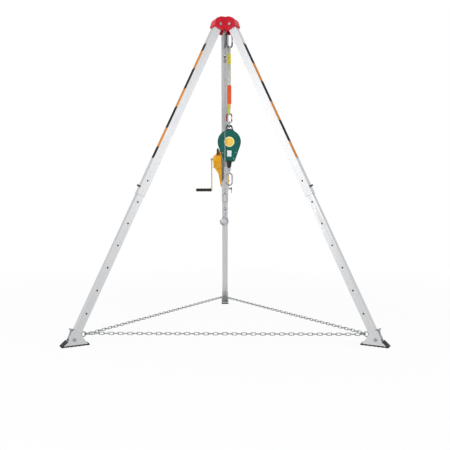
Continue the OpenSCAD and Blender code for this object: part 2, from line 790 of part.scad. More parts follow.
// The pawl is lifted clear of the teeth
module pawl() {
    reach = turned([ratchet_r + 0.8, 0], atan2(pawl_way.y, pawl_way.x) - 35) + crank_place - pawl_place;
    heading = atan2(reach.y, reach.x);
    side = turned(reach, 90) / norm(reach) * 0.5;
    color(steel) winch_frame(pawl_place) difference() {
        from_to_y(ratchet_y, ratchet_y + ratchet_t)
            polygon(concat([for (k = [0 : 14]) turned([5.5, 0], heading + 75 + k * 15)],
                [reach - side, reach + side]));
        y_rod(3 + pivot_play, ratchet_y - 1, ratchet_y + ratchet_t + 1);
    }
}

// The crank hangs straight down, so it is turned back by the leg's lean
module on_crank() {
    winch_frame(crank_place) rotate([0, leg_angle, 0]) children();
}

spindle_r = 5;
grip_from = crank_y + crank_t + 1;

module crank_arm() {
    color([0.80, 0.68, 0.32]) on_crank() {
        difference() {
            from_to_y(crank_y, crank_y + crank_t)
                tangent_outline([0, 0], 14, [0, -crank_len], 10);
            y_rod(crank_shaft_r, crank_y - 1, crank_y + crank_t + 1);
        }
        translate([0, 0, -crank_len]) {
            y_rod(spindle_r, crank_y + crank_t - tiny, grip_from + grip_len + 1);
            y_rod(spindle_r + 3, grip_from + grip_len + 0.5, grip_from + grip_len + 4);
        }
    }
}

module crank_grip() {
    color(black_rubber) on_crank() translate([0, 0, -crank_len]) difference() {
        union() {
            y_rod(grip_r, grip_from, grip_from + grip_len);
            y_rod(grip_r + 2, grip_from, grip_from + 6);
        }
        y_rod(spindle_r + pivot_play, grip_from - 1, grip_from + grip_len + 1);
    }
}

// Winch cable. It winds on the drum, runs to the sheave, goes over it and falls to the ferrule.

wound_r = drum_core_r + cable_d / 2 + 0.5;
drum_centre = leg_point(REAR, -winch_in, 0, winch_down);
sheave_centre = [0, front_y, sheave_z];
run_way = drum_centre - sheave_centre;
run_lean = atan2(run_way.z, run_way.y) + acos((sheave_r - wound_r) / norm(run_way));
run_side = [0, cos(run_lean), sin(run_lean)];
run_top = sheave_centre + sheave_r * run_side;
run_foot = drum_centre + wound_r * run_side;
loop_step = cable_d + loop_gap;
cable_sides = 6;
loop_rings = 24;

// The outer layer is one helix from near the crank's flange to the middle, where the run leaves it.
// Its ends run straight for one cable diameter.
wind_count = drum_loops * loop_rings;
function wind_turn(i) = run_lean - (wind_count - i) * 360 / loop_rings;
function wind_point(i) = drum_centre + [-(wind_count - i) * loop_step / loop_rings,
    wound_r * cos(wind_turn(i)), wound_r * sin(wind_turn(i))];
function wind_way(i) = [0, -sin(wind_turn(i)), cos(wind_turn(i))];
wind_points = concat([wind_point(0) - wind_way(0) * cable_d], [for (i = [0 : wind_count]) wind_point(i)],
    [wind_point(wind_count) + wind_way(wind_count) * cable_d]);
wind_gap = min([for (i = [0 : wind_count - loop_rings + 2])
    min([for (j = [i + loop_rings - 2 : min(i + loop_rings + 2, wind_count)])
        norm(wind_point(i) - wind_point(j)) - cable_d])]);

// A tube of round section along points, from the direction at each one
function unit(v) = v / norm(v);
function way_at(points, i) = unit(points[min(i + 1, len(points) - 1)] - points[max(i - 1, 0)]);
function ring_at(points, i, r, sides, across_way) = let(way = way_at(points, i),
    side = unit(cross(way, across_way)), up = cross(side, way))
    [for (k = [0 : sides - 1]) points[i] + r * (side * cos(k * 360 / sides) + up * sin(k * 360 / sides))];

module tube(points, r, sides, across_way) {
    count = len(points);
    rings = [for (i = [0 : count - 1]) each ring_at(points, i, r, sides, across_way)];
    walls = [for (i = [0 : count - 2]) for (k = [0 : sides - 1]) let(a = i * sides + k,
        b = i * sides + (k + 1) % sides) each [[a, b, a + sides], [b, b + sides, a + sides]]];
    first = [for (k = [1 : sides - 2]) [0, k + 1, k]];
    last_ring = (count - 1) * sides;
    last = [for (k = [1 : sides - 2]) [last_ring, last_ring + k, last_ring + k + 1]];
    polyhedron(points = rings, faces = concat(walls, first, last), convexity = 6);
}

module cable_winding() {
    echo(least_gap_between_loops = wind_gap);
    color(steel) tube(wind_points, cable_d / 2, cable_sides, [1, 0, 0]);
}

module cable_run() {
    way = run_foot - run_top;
    color(steel) {
        translate(run_top) rotate([atan2(-way.y, way.z), 0, 0]) translate([0, 0, -wire_lap])
            cylinder(r = cable_d / 2 - wire_step, h = norm(way) - cable_d - bolt_play + wire_lap);
        translate(sheave_centre) rotate([0, 0, 90])
            ring_arc(sheave_r, cable_d / 2, run_lean, 180);
    }
}

// The free fall, as a route of points straight down from the sheave
fall_y = front_y - sheave_r;
fall_top = sheave_z - bolt_play;
fall_foot = fall_top - fall_len - bolt_play;
fall_rings = 60;

module cable_fall() {
    color(steel) tube([for (i = [0 : fall_rings]) [0, fall_y, fall_top - fall_len * i / fall_rings]],
        cable_d / 2, 8, [1, 0, 0]);
}

// Thimble eye and swivel on the cable's end
ferrule_len = 44;
ferrule_r = 6.5;
eye_half = 13;
eye_straight = 34;
eye_wire = 7;
swivel_len = 15;
shank_r = 5;
shank_play = 0.1;
shank_head_t = 4;
eye_top = fall_foot - ferrule_len + 4;
eye_foot = eye_top - 2 * eye_half - eye_straight;
bail_half = 12;
bail_wire = 6;
bail_top = eye_foot + (eye_wire + bail_wire) / 2 + bolt_play;
barrel_top = bail_top - bail_half - 30;

module cable_eye() {
    color(steel) translate([0, fall_y, 0]) {
        translate([0, 0, fall_foot - ferrule_len]) cylinder(r = ferrule_r, h = ferrule_len);
        translate([0, 0, eye_top]) oval(eye_half, eye_straight, eye_wire / 2);
        difference() {
            union() {
                translate([0, 0, bail_top - bail_half]) rotate([0, 0, 90])
                    ring_arc(bail_half, bail_wire / 2, 0, 180);
                for (y = [-bail_half, bail_half])
                    translate([0, y, barrel_top - 4])
                        cylinder(r = bail_wire / 2, h = bail_top - bail_half - barrel_top + 4 + tiny);
                translate([0, 0, barrel_top - swivel_len])
                    cylinder(r = bail_half + bail_wire / 2 - 1, h = swivel_len);
            }
            translate([0, 0, barrel_top - swivel_len - 1])
                cylinder(r = shank_r + shank_play, h = swivel_len + 2);
        }
    }
}

// A swivel shank, hanging by its head in a collar whose lower face is at z = 0
module swivel_shank(collar, neck_r, neck) {
    translate([0, 0, -neck]) cylinder(r = shank_r, h = neck + collar + bolt_play + tiny);
    translate([0, 0, collar + bolt_play]) cylinder(r = shank_r + 3, h = shank_head_t);
    translate([0, 0, -neck - tiny]) cylinder(r = neck_r, h = neck - bolt_play);
}

// The hook's bowl is drawn in the XZ plane, with its mouth to the left. Its latch turns between two ears.
winch_hook_z = barrel_top - swivel_len;
bowl_drop = 77;
bowl_shift = -6;
hook_half = hook_wire / 2;
bowl_start = acos(-bowl_shift / hook_r);
shank_foot = hook_r * sin(bowl_start) - bowl_drop;
tip_angle = 172;
tip_place = [bowl_shift + hook_r * cos(tip_angle), hook_r * sin(tip_angle) - bowl_drop];
latch_t = 4;
tip_bead = 0.3;
latch_pin_r = 1.5;
latch_half = hook_half / 2;
latch_pin = [-hook_half - latch_t * 0.9, shank_foot + hook_half * 0.9];
latch_tip = tip_place + (hook_half + latch_t / 2 + 0.8) * [cos(48), sin(48)];

module winch_hook() {
    ear_y = latch_half + bolt_play;
    color(silver) translate([0, fall_y, winch_hook_z]) {
        swivel_shank(swivel_len, hook_half, -shank_foot);
        translate([bowl_shift, 0, -bowl_drop]) ring_arc(hook_r, hook_half, tip_angle - 360, bowl_start);
        translate([tip_place.x, 0, tip_place.y]) sphere(r = hook_half + tip_bead);
        translate([0, 0, shank_foot]) sphere(r = hook_half + tip_bead);
        difference() {
            for (side = [-1, 1])
                on_side(side) from_to_y(ear_y, ear_y + 2)
                    tangent_outline(latch_pin, 3.5, [-1, latch_pin.y + 2], 4);
            translate([latch_pin.x, 0, latch_pin.y])
                y_rod(latch_pin_r + pivot_play, -hook_wire, hook_wire);
        }
    }
}

module hook_latch() {
    color(steel) translate([0, fall_y, winch_hook_z]) {
        across(2 * latch_half) tangent_outline(latch_pin, latch_t * 0.6, latch_tip, latch_t / 2);
        translate([latch_pin.x, 0, latch_pin.y]) y_rod(latch_pin_r, -latch_half - 4, latch_half + 4);
    }
}

// Carabiners in the XZ plane, hanging from their top middle line, with the gate on +X

gate_gap = 0.4;
ear_t = 2;

// Height of the gate's pivot above the lower bend
function gate_pivot(straight, gate_len) = (straight - gate_len) * 0.72;

module carabiner_body(width, height, wire, gate_len) {
    half = (width - wire) / 2;
    straight = height - wire - 2 * half;
    wire_r = wire / 2;
    gate_r = wire_r * 0.7;
    ear_r = wire * 0.3;
    bend = -half - straight;
    pivot = gate_pivot(straight, gate_len);
    ear_foot = -gate_r - gate_gap - ear_r * 1.2;
    translate([0, 0, -half]) ring_arc(half, wire_r, 0, 180);
    translate([0, 0, bend]) ring_arc(half, wire_r, 180, 360);
    translate([-half, 0, 0]) wire_length(wire_r, bend, -half);
    translate([half, 0, 0]) {
        wire_length(wire_r, bend + pivot + gate_len + gate_gap + wire_lap, -half);
        wire_length(wire_r, bend, bend + pivot - gate_r - gate_gap - wire_lap);
    }
    difference() {
        for (side = [-1, 1])
            translate([half, side * (gate_r + gate_gap + ear_t / 2), bend + pivot]) across(ear_t)
                polygon([[-ear_r, ear_foot], [ear_r, ear_foot], [ear_r, ear_r * 0.4], [ear_r * 0.4, ear_r],
                    [-ear_r * 0.4, ear_r], [-ear_r, ear_r * 0.4]]);
        translate([half, 0, bend + pivot]) y_rod(1.5 + pivot_play, -width, width);
    }
}

module carabiner_gate(width, height, wire, gate_len) {
    half = (width - wire) / 2;
    straight = height - wire - 2 * half;
    gate_r = wire / 2 * 0.7;
    translate([half, 0, -half - straight + gate_pivot(straight, gate_len)]) {
        sphere(r = gate_r + 0.2);
        cylinder(r = gate_r, h = gate_len);
        y_rod(1.5, -gate_r - gate_gap - ear_t - 1, gate_r + gate_gap + ear_t + 1);
    }
}

// Fall-arrest line at the right rear lug

arrest_az = REAR - 60;
arrest_place = [0, axis_y, 0] + radial(arrest_az) * lug_r;
arrest_top = wire_rest + arrest_wire / 2 + bend_drop(arrest_w / 2 - arrest_wire, lug_t);
arrest_foot = arrest_top - arrest_h + arrest_wire;
sleeve_top = arrest_foot - strap_head;
sleeve_foot = sleeve_top - sleeve_len;
absorber_top = sleeve_foot - strap_len;
absorber_foot = absorber_top - absorber_len;
block_carabiner_top = absorber_foot - strap_tail;
block_carabiner_foot = block_carabiner_top - block_carabiner_h + block_carabiner_wire;
arrest_gate_len = 34;
block_gate_len = 18;
loop_t = 3.5;
loop_w = 14;
loop_play = 0.4;

module on_line(z) {
    translate([arrest_place.x, arrest_place.y, z]) children();
}

module arrest_carabiner() {
    color(silver) on_line(arrest_top) rotate([0, 0, arrest_az])
        carabiner_body(arrest_w, arrest_h, arrest_wire, arrest_gate_len);
}

module arrest_gate() {
    color(steel) on_line(arrest_top) rotate([0, 0, arrest_az])
        carabiner_gate(arrest_w, arrest_h, arrest_wire, arrest_gate_len);
}

// A webbing loop round a wire that runs along X, with its two legs drawn together below or above it
module strap_loop(wire, width, reach) {
    inside = wire / 2 + bend_drop(width / 2 - wire, loop_w) + loop_play;
    outside = inside + loop_t;
    rotate([0, 0, 90]) across(loop_w) difference() {
        union() {
            circle(r = outside);
            polygon([[-outside + side_lap, 0], [outside - side_lap, 0], [strap_t / 2, -reach],
                [-strap_t / 2, -reach]]);
        }
        circle(r = inside);
    }
}

module lanyard_webbing() {
    color(strap_olive) {
        on_line(arrest_foot) rotate([0, 0, arrest_az]) strap_loop(arrest_wire, arrest_w, strap_head + 3);
        on_line(absorber_top) translate([-strap_w / 2, -strap_t / 2, 0])
            cube([strap_w, strap_t, strap_len + 3]);
    }
    color([0.80, 0.75, 0.16]) on_line(sleeve_foot) across(2 * strap_t - 2)
        translate([-strap_w / 2 - 1, 0]) square([strap_w + 2, sleeve_len]);
    color([0.76, 0.78, 0.33]) on_line(block_carabiner_top) mirror([0, 0, 1])
        strap_loop(block_carabiner_wire, block_carabiner_w, strap_tail);
}

// Sewn pouch, with drawn-in ends and a crown
module energy_absorber() {
    half = absorber_w / 2;
    color(absorber_orange) on_line((absorber_top + absorber_foot) / 2) intersection() {
        across(absorber_w) polygon([for (s = [-1 : 0.2 : 1]) [half * (0.84 + 0.16 * (1 - s * s * s * s)),
            s * absorber_len / 2], for (s = [1 : -0.2 : -1]) [-half * (0.84 + 0.16 * (1 - s * s * s * s)),
            s * absorber_len / 2]]);
        rotate([0, 0, 90]) across(2 * absorber_w) polygon([for (s = [-1 : 0.2 : 1])
            [10 - 5 * s * s * s * s, s * absorber_len / 2],
            for (s = [1 : -0.2 : -1]) [5 * s * s * s * s - 10, s * absorber_len / 2]]);
    }
}

module block_carabiner() {
    color(maroon) on_line(block_carabiner_top)
        carabiner_body(block_carabiner_w, block_carabiner_h, block_carabiner_wire, block_gate_len);
}

module block_gate() {
    color(steel) on_line(block_carabiner_top)
        carabiner_gate(block_carabiner_w, block_carabiner_h, block_carabiner_wire, block_gate_len);
}

// Steel link between the lower carabiner and the handle

block_link_wire = 8;
handle_bar = 12;
block_link_half = handle_t / 2 + 10;
block_link_top = block_carabiner_foot + (block_carabiner_wire + block_link_wire) / 2 + bolt_play;
block_link_straight = 7;
block_link_foot = block_link_top - 2 * block_link_half - block_link_straight;
handle_top = block_link_foot + block_link_wire / 2 + bolt_play + handle_bar
    + bend_drop(block_link_half - block_link_wire / 2, handle_t);
case_z = handle_top - case_drop;

module block_link() {
    color(steel) on_line(block_link_top) rotate([0, 0, 90])
        oval(block_link_half, block_link_straight, block_link_wire / 2);
}

// Casing outline in X and Z from the drum's middle: three circles and the straight sides between them,
// whose corners lie a hair inside the circles
module case_outline(wall) {
    big = case_r - wall;
    small = case_foot_r - wall;
    foot = [case_foot_half, side_lap - case_foot_drop];
    lean = acos((big - small) / norm(foot)) + atan2(foot.y, foot.x);
    side = [cos(lean), sin(lean)];
    right = [side * (big - side_lap), foot + side * (small - side_lap),
        [case_foot_half, -case_foot_drop - small]];
    circle(r = big);
    for (x = [-foot.x, foot.x])
        translate([x, foot.y]) circle(r = small);
    polygon(concat(right, [for (i = [2 : -1 : 0]) [-right[i].x, right[i].y]]));
}

case_half = case_t / 2;
face_step = 6;
axle_r = 8;
cable_hole_r = block_cable_d / 2 + 0.6;
collar_r = nozzle_r - 5;
collar_len = 8;
case_foot_z = -case_foot_drop - case_foot_r;
function screw_places() = [[-46, -78], [46, -78], [-31, -119], [31, -119]];

module case_shell() {
    difference() {
        union() {
            from_to_y(face_step - case_half, 0) case_outline(0);
            from_to_y(-case_half, face_step - case_half + tiny) case_outline(face_step);
        }
        from_to_y(case_wall + face_step - case_half, 1) case_outline(case_wall);
        from_to_y(case_wall - case_half, case_wall + face_step) case_outline(case_wall + face_step);
        translate([0, 0, case_foot_z - 1]) cylinder(r = collar_r, h = collar_len + 1);
        for (place = screw_places())
            translate([place.x, 0, place.y]) y_rod(2.5, -case_t, case_t);
    }
}

module on_block() {
    on_line(case_z) children();
}

module block_case() {
    color(block_green) on_block() case_shell();
}

module block_back() {
    color(block_green) on_block() rotate([0, 0, 180]) case_shell();
    color(block_green) on_block() y_rod(axle_r, 4 - case_half, case_half - case_wall + tiny);
}

handle_foot_t = 34;
handle_screw = [18, case_drop - 31];

module handle_outline() {
    top = case_drop;
    difference() {
        polygon([[-38, case_r - 24], [-30, case_r - 2], [-21, top - 8], [-14, top], [14, top], [21, top - 8],
            [30, case_r - 2], [38, case_r - 24]]);
        tangent_outline([-8, top - handle_bar - 8], 8, [8, top - handle_bar - 8], 8);
    }
}

// The handle's foot is a saddle on the casing's round outline
module block_handle() {
    color(black_rubber) on_block() difference() {
        union() {
            across(handle_t) handle_outline();
            across(handle_foot_t) intersection() {
                handle_outline();
                translate([-case_r, 0]) square([2 * case_r, case_drop - 29]);
            }
            across(case_t - 2 * face_step - 4) intersection() {
                circle(r = case_r + 4);
                polygon([[0, 0], [-case_r * 0.5, case_r * 1.1], [case_r * 0.5, case_r * 1.1]]);
            }
        }
        across(case_t) circle(r = case_r + 0.2);
        for (side = [-1, 1])
            translate([side * handle_screw.x, 0, handle_screw.y]) y_rod(2.5, -case_t, case_t);
    }
}

spring_y = 8;

// Drum for the block's cable, with a recess for its spring
module block_drum() {
    color(steel) on_block() difference() {
        y_rod(block_drum_r, -24, 20);
        y_rod(axle_r + pivot_play, -case_t, case_t);
        y_rod(block_drum_r - 12, spring_y, case_t);
        difference() {
            y_rod(block_drum_r + 1, -18, -4);
            y_rod(block_drum_r - 8, -19, -3);
        }
    }
}

// Spiral retraction spring, shown as its wound pack
module block_spring() {
    color([0.35, 0.36, 0.38]) on_block() difference() {
        y_rod(block_drum_r - 14, spring_y + 1, 18);
        y_rod(axle_r, 0, case_t);
    }
}

module block_nozzle() {
    color(black_rubber) on_block() translate([0, 0, case_foot_z]) difference() {
        union() {
            translate([0, 0, -nozzle_len]) cylinder(r1 = nozzle_r - 5, r2 = nozzle_r, h = nozzle_len);
            translate([0, 0, -tiny]) cylinder(r = collar_r, h = collar_len);
        }
        translate([0, 0, -nozzle_len - 1]) cylinder(r = cable_hole_r, h = nozzle_len + collar_len + 2);
    }
}

swivel_top = case_z + case_foot_z - nozzle_len - bolt_play;
swivel_r = 11.5;
swivel_h = 22;
swivel_collar = 5;
block_neck = 20;
block_hook_gate_len = 36;

module block_cable() {
    color(steel) on_line(swivel_top) cylinder(r = block_cable_d / 2, h = nozzle_len + collar_len);
}

// The swivel's chamber holds the head of the hook's shank
module block_swivel() {
    color(steel) on_line(swivel_top - swivel_h) difference() {
        union() {
            cylinder(r = swivel_r, h = swivel_h - 8);
            translate([0, 0, swivel_h - 8 - tiny]) cylinder(r1 = swivel_r, r2 = 6, h = 8 + tiny);
        }
        translate([0, 0, -1]) cylinder(r = shank_r + shank_play, h = swivel_collar + 2);
        translate([0, 0, swivel_collar]) cylinder(r = shank_r + 3.5, h = shank_head_t + 1.5);
    }
}

// A swivel snap hook: a closed bow whose spring gate is on the left
module block_hook() {
    color(silver) on_line(swivel_top - swivel_h) {
        swivel_shank(swivel_collar, shank_r + 2, block_neck);
        translate([0, 0, -block_neck]) mirror([1, 0, 0])
            carabiner_body(block_hook_w, block_hook_h, block_hook_wire, block_hook_gate_len);
    }
}

module block_latch() {
    color(steel) on_line(swivel_top - swivel_h) translate([0, 0, -block_neck]) mirror([1, 0, 0])
        carabiner_gate(block_hook_w, block_hook_h, block_hook_wire, block_hook_gate_len);
}

module case_screws() {
    color(silver) on_block() {
        for (place = screw_places())
            translate([place.x, 0, place.y]) {
                y_rod(2.5, -case_half - tiny, case_half - 2);
                y_rod(4.5, -case_half - 2, -case_half);
            }
        for (side = [-1, 1])
            translate([side * handle_screw.x, 0, handle_screw.y]) {
                y_rod(2.5, -handle_foot_t / 2 - tiny, handle_foot_t / 2 - 2);
                y_rod(4.5, -handle_foot_t / 2 - 2, -handle_foot_t / 2);
            }
    }
}

head();
hinge_bolts();
upper_tube(LEFT, LEFT_LOCK);  // upper_tube_left
upper_tube(RIGHT, RIGHT_LOCK);  // upper_tube_right
upper_tube(REAR, REAR_LOCK);  // upper_tube_rear
lower_tube(LEFT);  // lower_tube_left
lower_tube(RIGHT);  // lower_tube_right
lower_tube(REAR);  // lower_tube_rear
lock_plunger(LEFT, LEFT_LOCK);  // lock_plunger_left
lock_plunger(RIGHT, RIGHT_LOCK);  // lock_plunger_right
lock_plunger(REAR, REAR_LOCK);  // lock_plunger_rear
leg_bolts(LEFT);  // leg_bolts_left
leg_bolts(RIGHT);  // leg_bolts_right
leg_bolts(REAR);  // leg_bolts_rear
foot(LEFT);  // foot_left
foot(RIGHT);  // foot_right
foot(REAR);  // foot_rear
sole(LEFT);  // sole_left
sole(RIGHT);  // sole_right
sole(REAR);  // sole_rear
chain(LEFT, RIGHT);  // chain_front
chain(RIGHT, REAR);  // chain_right
chain(REAR, LEFT);  // chain_left
pulley_link();
pulley_block();
pulley_sheave();
winch_bracket();
winch_pins();
winch_drum();
cable_winding();
drum_gear();
pinion_shaft();
gear_cover();
ratchet_wheel();
pawl();
crank_arm();
crank_grip();
cable_run();
cable_fall();
cable_eye();
winch_hook();
hook_latch();
arrest_carabiner();
arrest_gate();
lanyard_webbing();
energy_absorber();
block_carabiner();
block_gate();
block_link();
block_handle();
block_case();
block_back();
block_drum();
block_spring();
block_nozzle();
block_cable();
block_swivel();
block_hook();
block_latch();
case_screws();
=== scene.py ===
"""Looks of a rescue tripod with a hand winch, a pulley line and a fall-arrest block.

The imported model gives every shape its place. This script adds the camera and the light, the wire rope, the
chains, the webbing and the small trim, and gives each surface its finish. Lengths are in metres, +Z is up.
"""

from __future__ import annotations

import json
import logging
import math
from dataclasses import dataclass
from enum import Enum
from typing import Any, Callable, Iterable, Iterator, Sequence

import bpy
from mathutils import Matrix, Vector


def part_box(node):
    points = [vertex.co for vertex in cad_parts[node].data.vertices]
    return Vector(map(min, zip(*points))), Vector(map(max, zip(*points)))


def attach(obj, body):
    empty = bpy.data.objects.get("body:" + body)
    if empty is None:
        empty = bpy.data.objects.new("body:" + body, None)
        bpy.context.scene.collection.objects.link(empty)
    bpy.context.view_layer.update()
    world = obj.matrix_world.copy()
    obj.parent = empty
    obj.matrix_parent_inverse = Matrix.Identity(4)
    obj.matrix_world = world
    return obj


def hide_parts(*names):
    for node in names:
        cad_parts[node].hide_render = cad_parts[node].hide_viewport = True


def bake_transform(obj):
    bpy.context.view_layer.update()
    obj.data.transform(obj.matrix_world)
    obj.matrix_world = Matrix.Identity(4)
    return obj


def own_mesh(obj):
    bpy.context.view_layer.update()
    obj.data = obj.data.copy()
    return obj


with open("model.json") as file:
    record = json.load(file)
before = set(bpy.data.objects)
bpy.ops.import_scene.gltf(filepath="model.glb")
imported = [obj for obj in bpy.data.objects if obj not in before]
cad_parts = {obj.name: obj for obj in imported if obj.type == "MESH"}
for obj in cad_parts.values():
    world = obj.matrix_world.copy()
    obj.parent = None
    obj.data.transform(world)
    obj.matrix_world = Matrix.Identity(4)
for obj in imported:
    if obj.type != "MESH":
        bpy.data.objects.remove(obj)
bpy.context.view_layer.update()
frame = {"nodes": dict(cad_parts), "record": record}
LOG = logging.getLogger("tripod")

Colour = tuple[float, float, float, float]
Piece = bpy.types.Object

# Colours and marks shared by several finishes
BLACK: Colour = (0.0, 0.0, 0.0, 1.0)
WHITE: Colour = (1.0, 1.0, 1.0, 1.0)
DUST: Colour = (0.32, 0.31, 0.29, 1.0)
SCRATCH_TURN = (0.4, 0.2, 0.6)
SCRATCH_SCALE = (1400.0, 1400.0, 110.0)

# Points nearer to each other than this are one point
MERGE_LIMIT = 1e-6

# Places shared by several sub-assemblies
AXIS_Y = -0.267287
HINGE_R = 0.057
HINGE_Z = 2.084
LEG_ANGLE = math.radians(25.8)
LINE_X = 0.0294449
LINE_Y = -0.250287
TUBE_OUT = 0.026


class Leg(Enum):
    """The three legs by their azimuth in degrees."""

    LEFT = 210
    RIGHT = 330
    REAR = 90

    @property
    def word(self) -> str:
        """The leg's word in the names of bodies and nodes."""
        return self.name.lower()

    @property
    def radial(self) -> Vector:
        """The level direction from the tripod's axis to the leg."""
        turn = math.radians(self.value)
        return Vector((math.cos(turn), math.sin(turn), 0.0))

    @property
    def tangent(self) -> Vector:
        """The level direction across the leg."""
        return Vector((-self.radial.y, self.radial.x, 0.0))

    @property
    def down(self) -> Vector:
        """The direction down along the leg."""
        return self.radial * math.sin(LEG_ANGLE) - Vector((0, 0, math.cos(LEG_ANGLE)))

    @property
    def out(self) -> Vector:
        """The direction square to the leg's outer face."""
        return self.radial * math.cos(LEG_ANGLE) + Vector((0, 0, math.sin(LEG_ANGLE)))

    def point(self, out: float, side: float, down: float) -> Vector:
        """A point by its distances out from the leg's middle line, across it and down from the hinge."""
        hinge = Vector((0, AXIS_Y, HINGE_Z)) + self.radial * HINGE_R
        return hinge + self.out * out + self.tangent * side + self.down * down

    def matrix(self, out: float, down: float) -> Matrix:
        """The matrix that takes a piece to the leg: X across it, Y down along it, Z out of its face."""
        turn = Matrix((-self.tangent, self.down, self.out)).transposed()
        return Matrix.Translation(self.point(out, 0.0, down)) @ turn.to_4x4()


def srgb(red: int, green: int, blue: int) -> Colour:
    """A colour as it shows on a screen, made linear.

    Args:
        red: Red from 0 to 255.
        green: Green from 0 to 255.
        blue: Blue from 0 to 255.

    Returns:
        The linear colour with full alpha.
    """
    shares = [value / 255 for value in (red, green, blue)]
    linear = [s / 12.92 if s <= 0.04045 else ((s + 0.055) / 1.055) ** 2.4 for s in shares]
    return (linear[0], linear[1], linear[2], 1.0)


def shaded(colour: Colour, share: float) -> Colour:
    """A colour whose channels are multiplied by a share, and kept at most white."""
    return (min(colour[0] * share, 1.0), min(colour[1] * share, 1.0), min(colour[2] * share, 1.0), 1.0)


def operator(operation: str, reflected: bool = False) -> Callable[["Signal", Any], "Signal"]:
    """The method for one of Python's operators on signals.

    Args:
        operation: The operation of the Math node that it adds.
        reflected: Whether the signal stands on the right.

    Returns:
        The method.
    """

    def method(self: "Signal", other: Any) -> "Signal":
        """Work out the operation with another signal or a number."""
        return self.math(operation, other, self) if reflected else self.math(operation, self, other)

    return method


class Signal:
    """A node's output, with arithmetic that adds Math nodes."""

    def __init__(self, board: "Board", socket: bpy.types.NodeSocket) -> None:
        """Wrap a socket of a board's node."""
        self.board = board
        self.socket = socket

    def math(self, operation: str, first: Any, second: Any) -> "Signal":
        """Add one Math node for two values or signals."""
        return self.board.node("ShaderNodeMath", {"operation": operation}, {0: first, 1: second})

    __add__, __radd__ = operator("ADD"), operator("ADD", True)
    __sub__, __rsub__ = operator("SUBTRACT"), operator("SUBTRACT", True)
    __mul__, __rmul__ = operator("MULTIPLY"), operator("MULTIPLY", True)
    __gt__ = operator("GREATER_THAN")

    def wrapped(self, period: float) -> "Signal":
        """The rest after whole periods."""
        return self.math("FLOORED_MODULO", self, period)

    def wave(self) -> "Signal":
        """The sine of the signal in radians, brought between 0 and 1."""
        return self.sine() * 0.5 + 0.5

    def sine(self) -> "Signal":
        """The sine of the signal in radians."""
        return self.math("SINE", self, 0.0)

    def size(self) -> "Signal":
        """The signal without its sign."""
        return self.math("ABSOLUTE", self, 0.0)


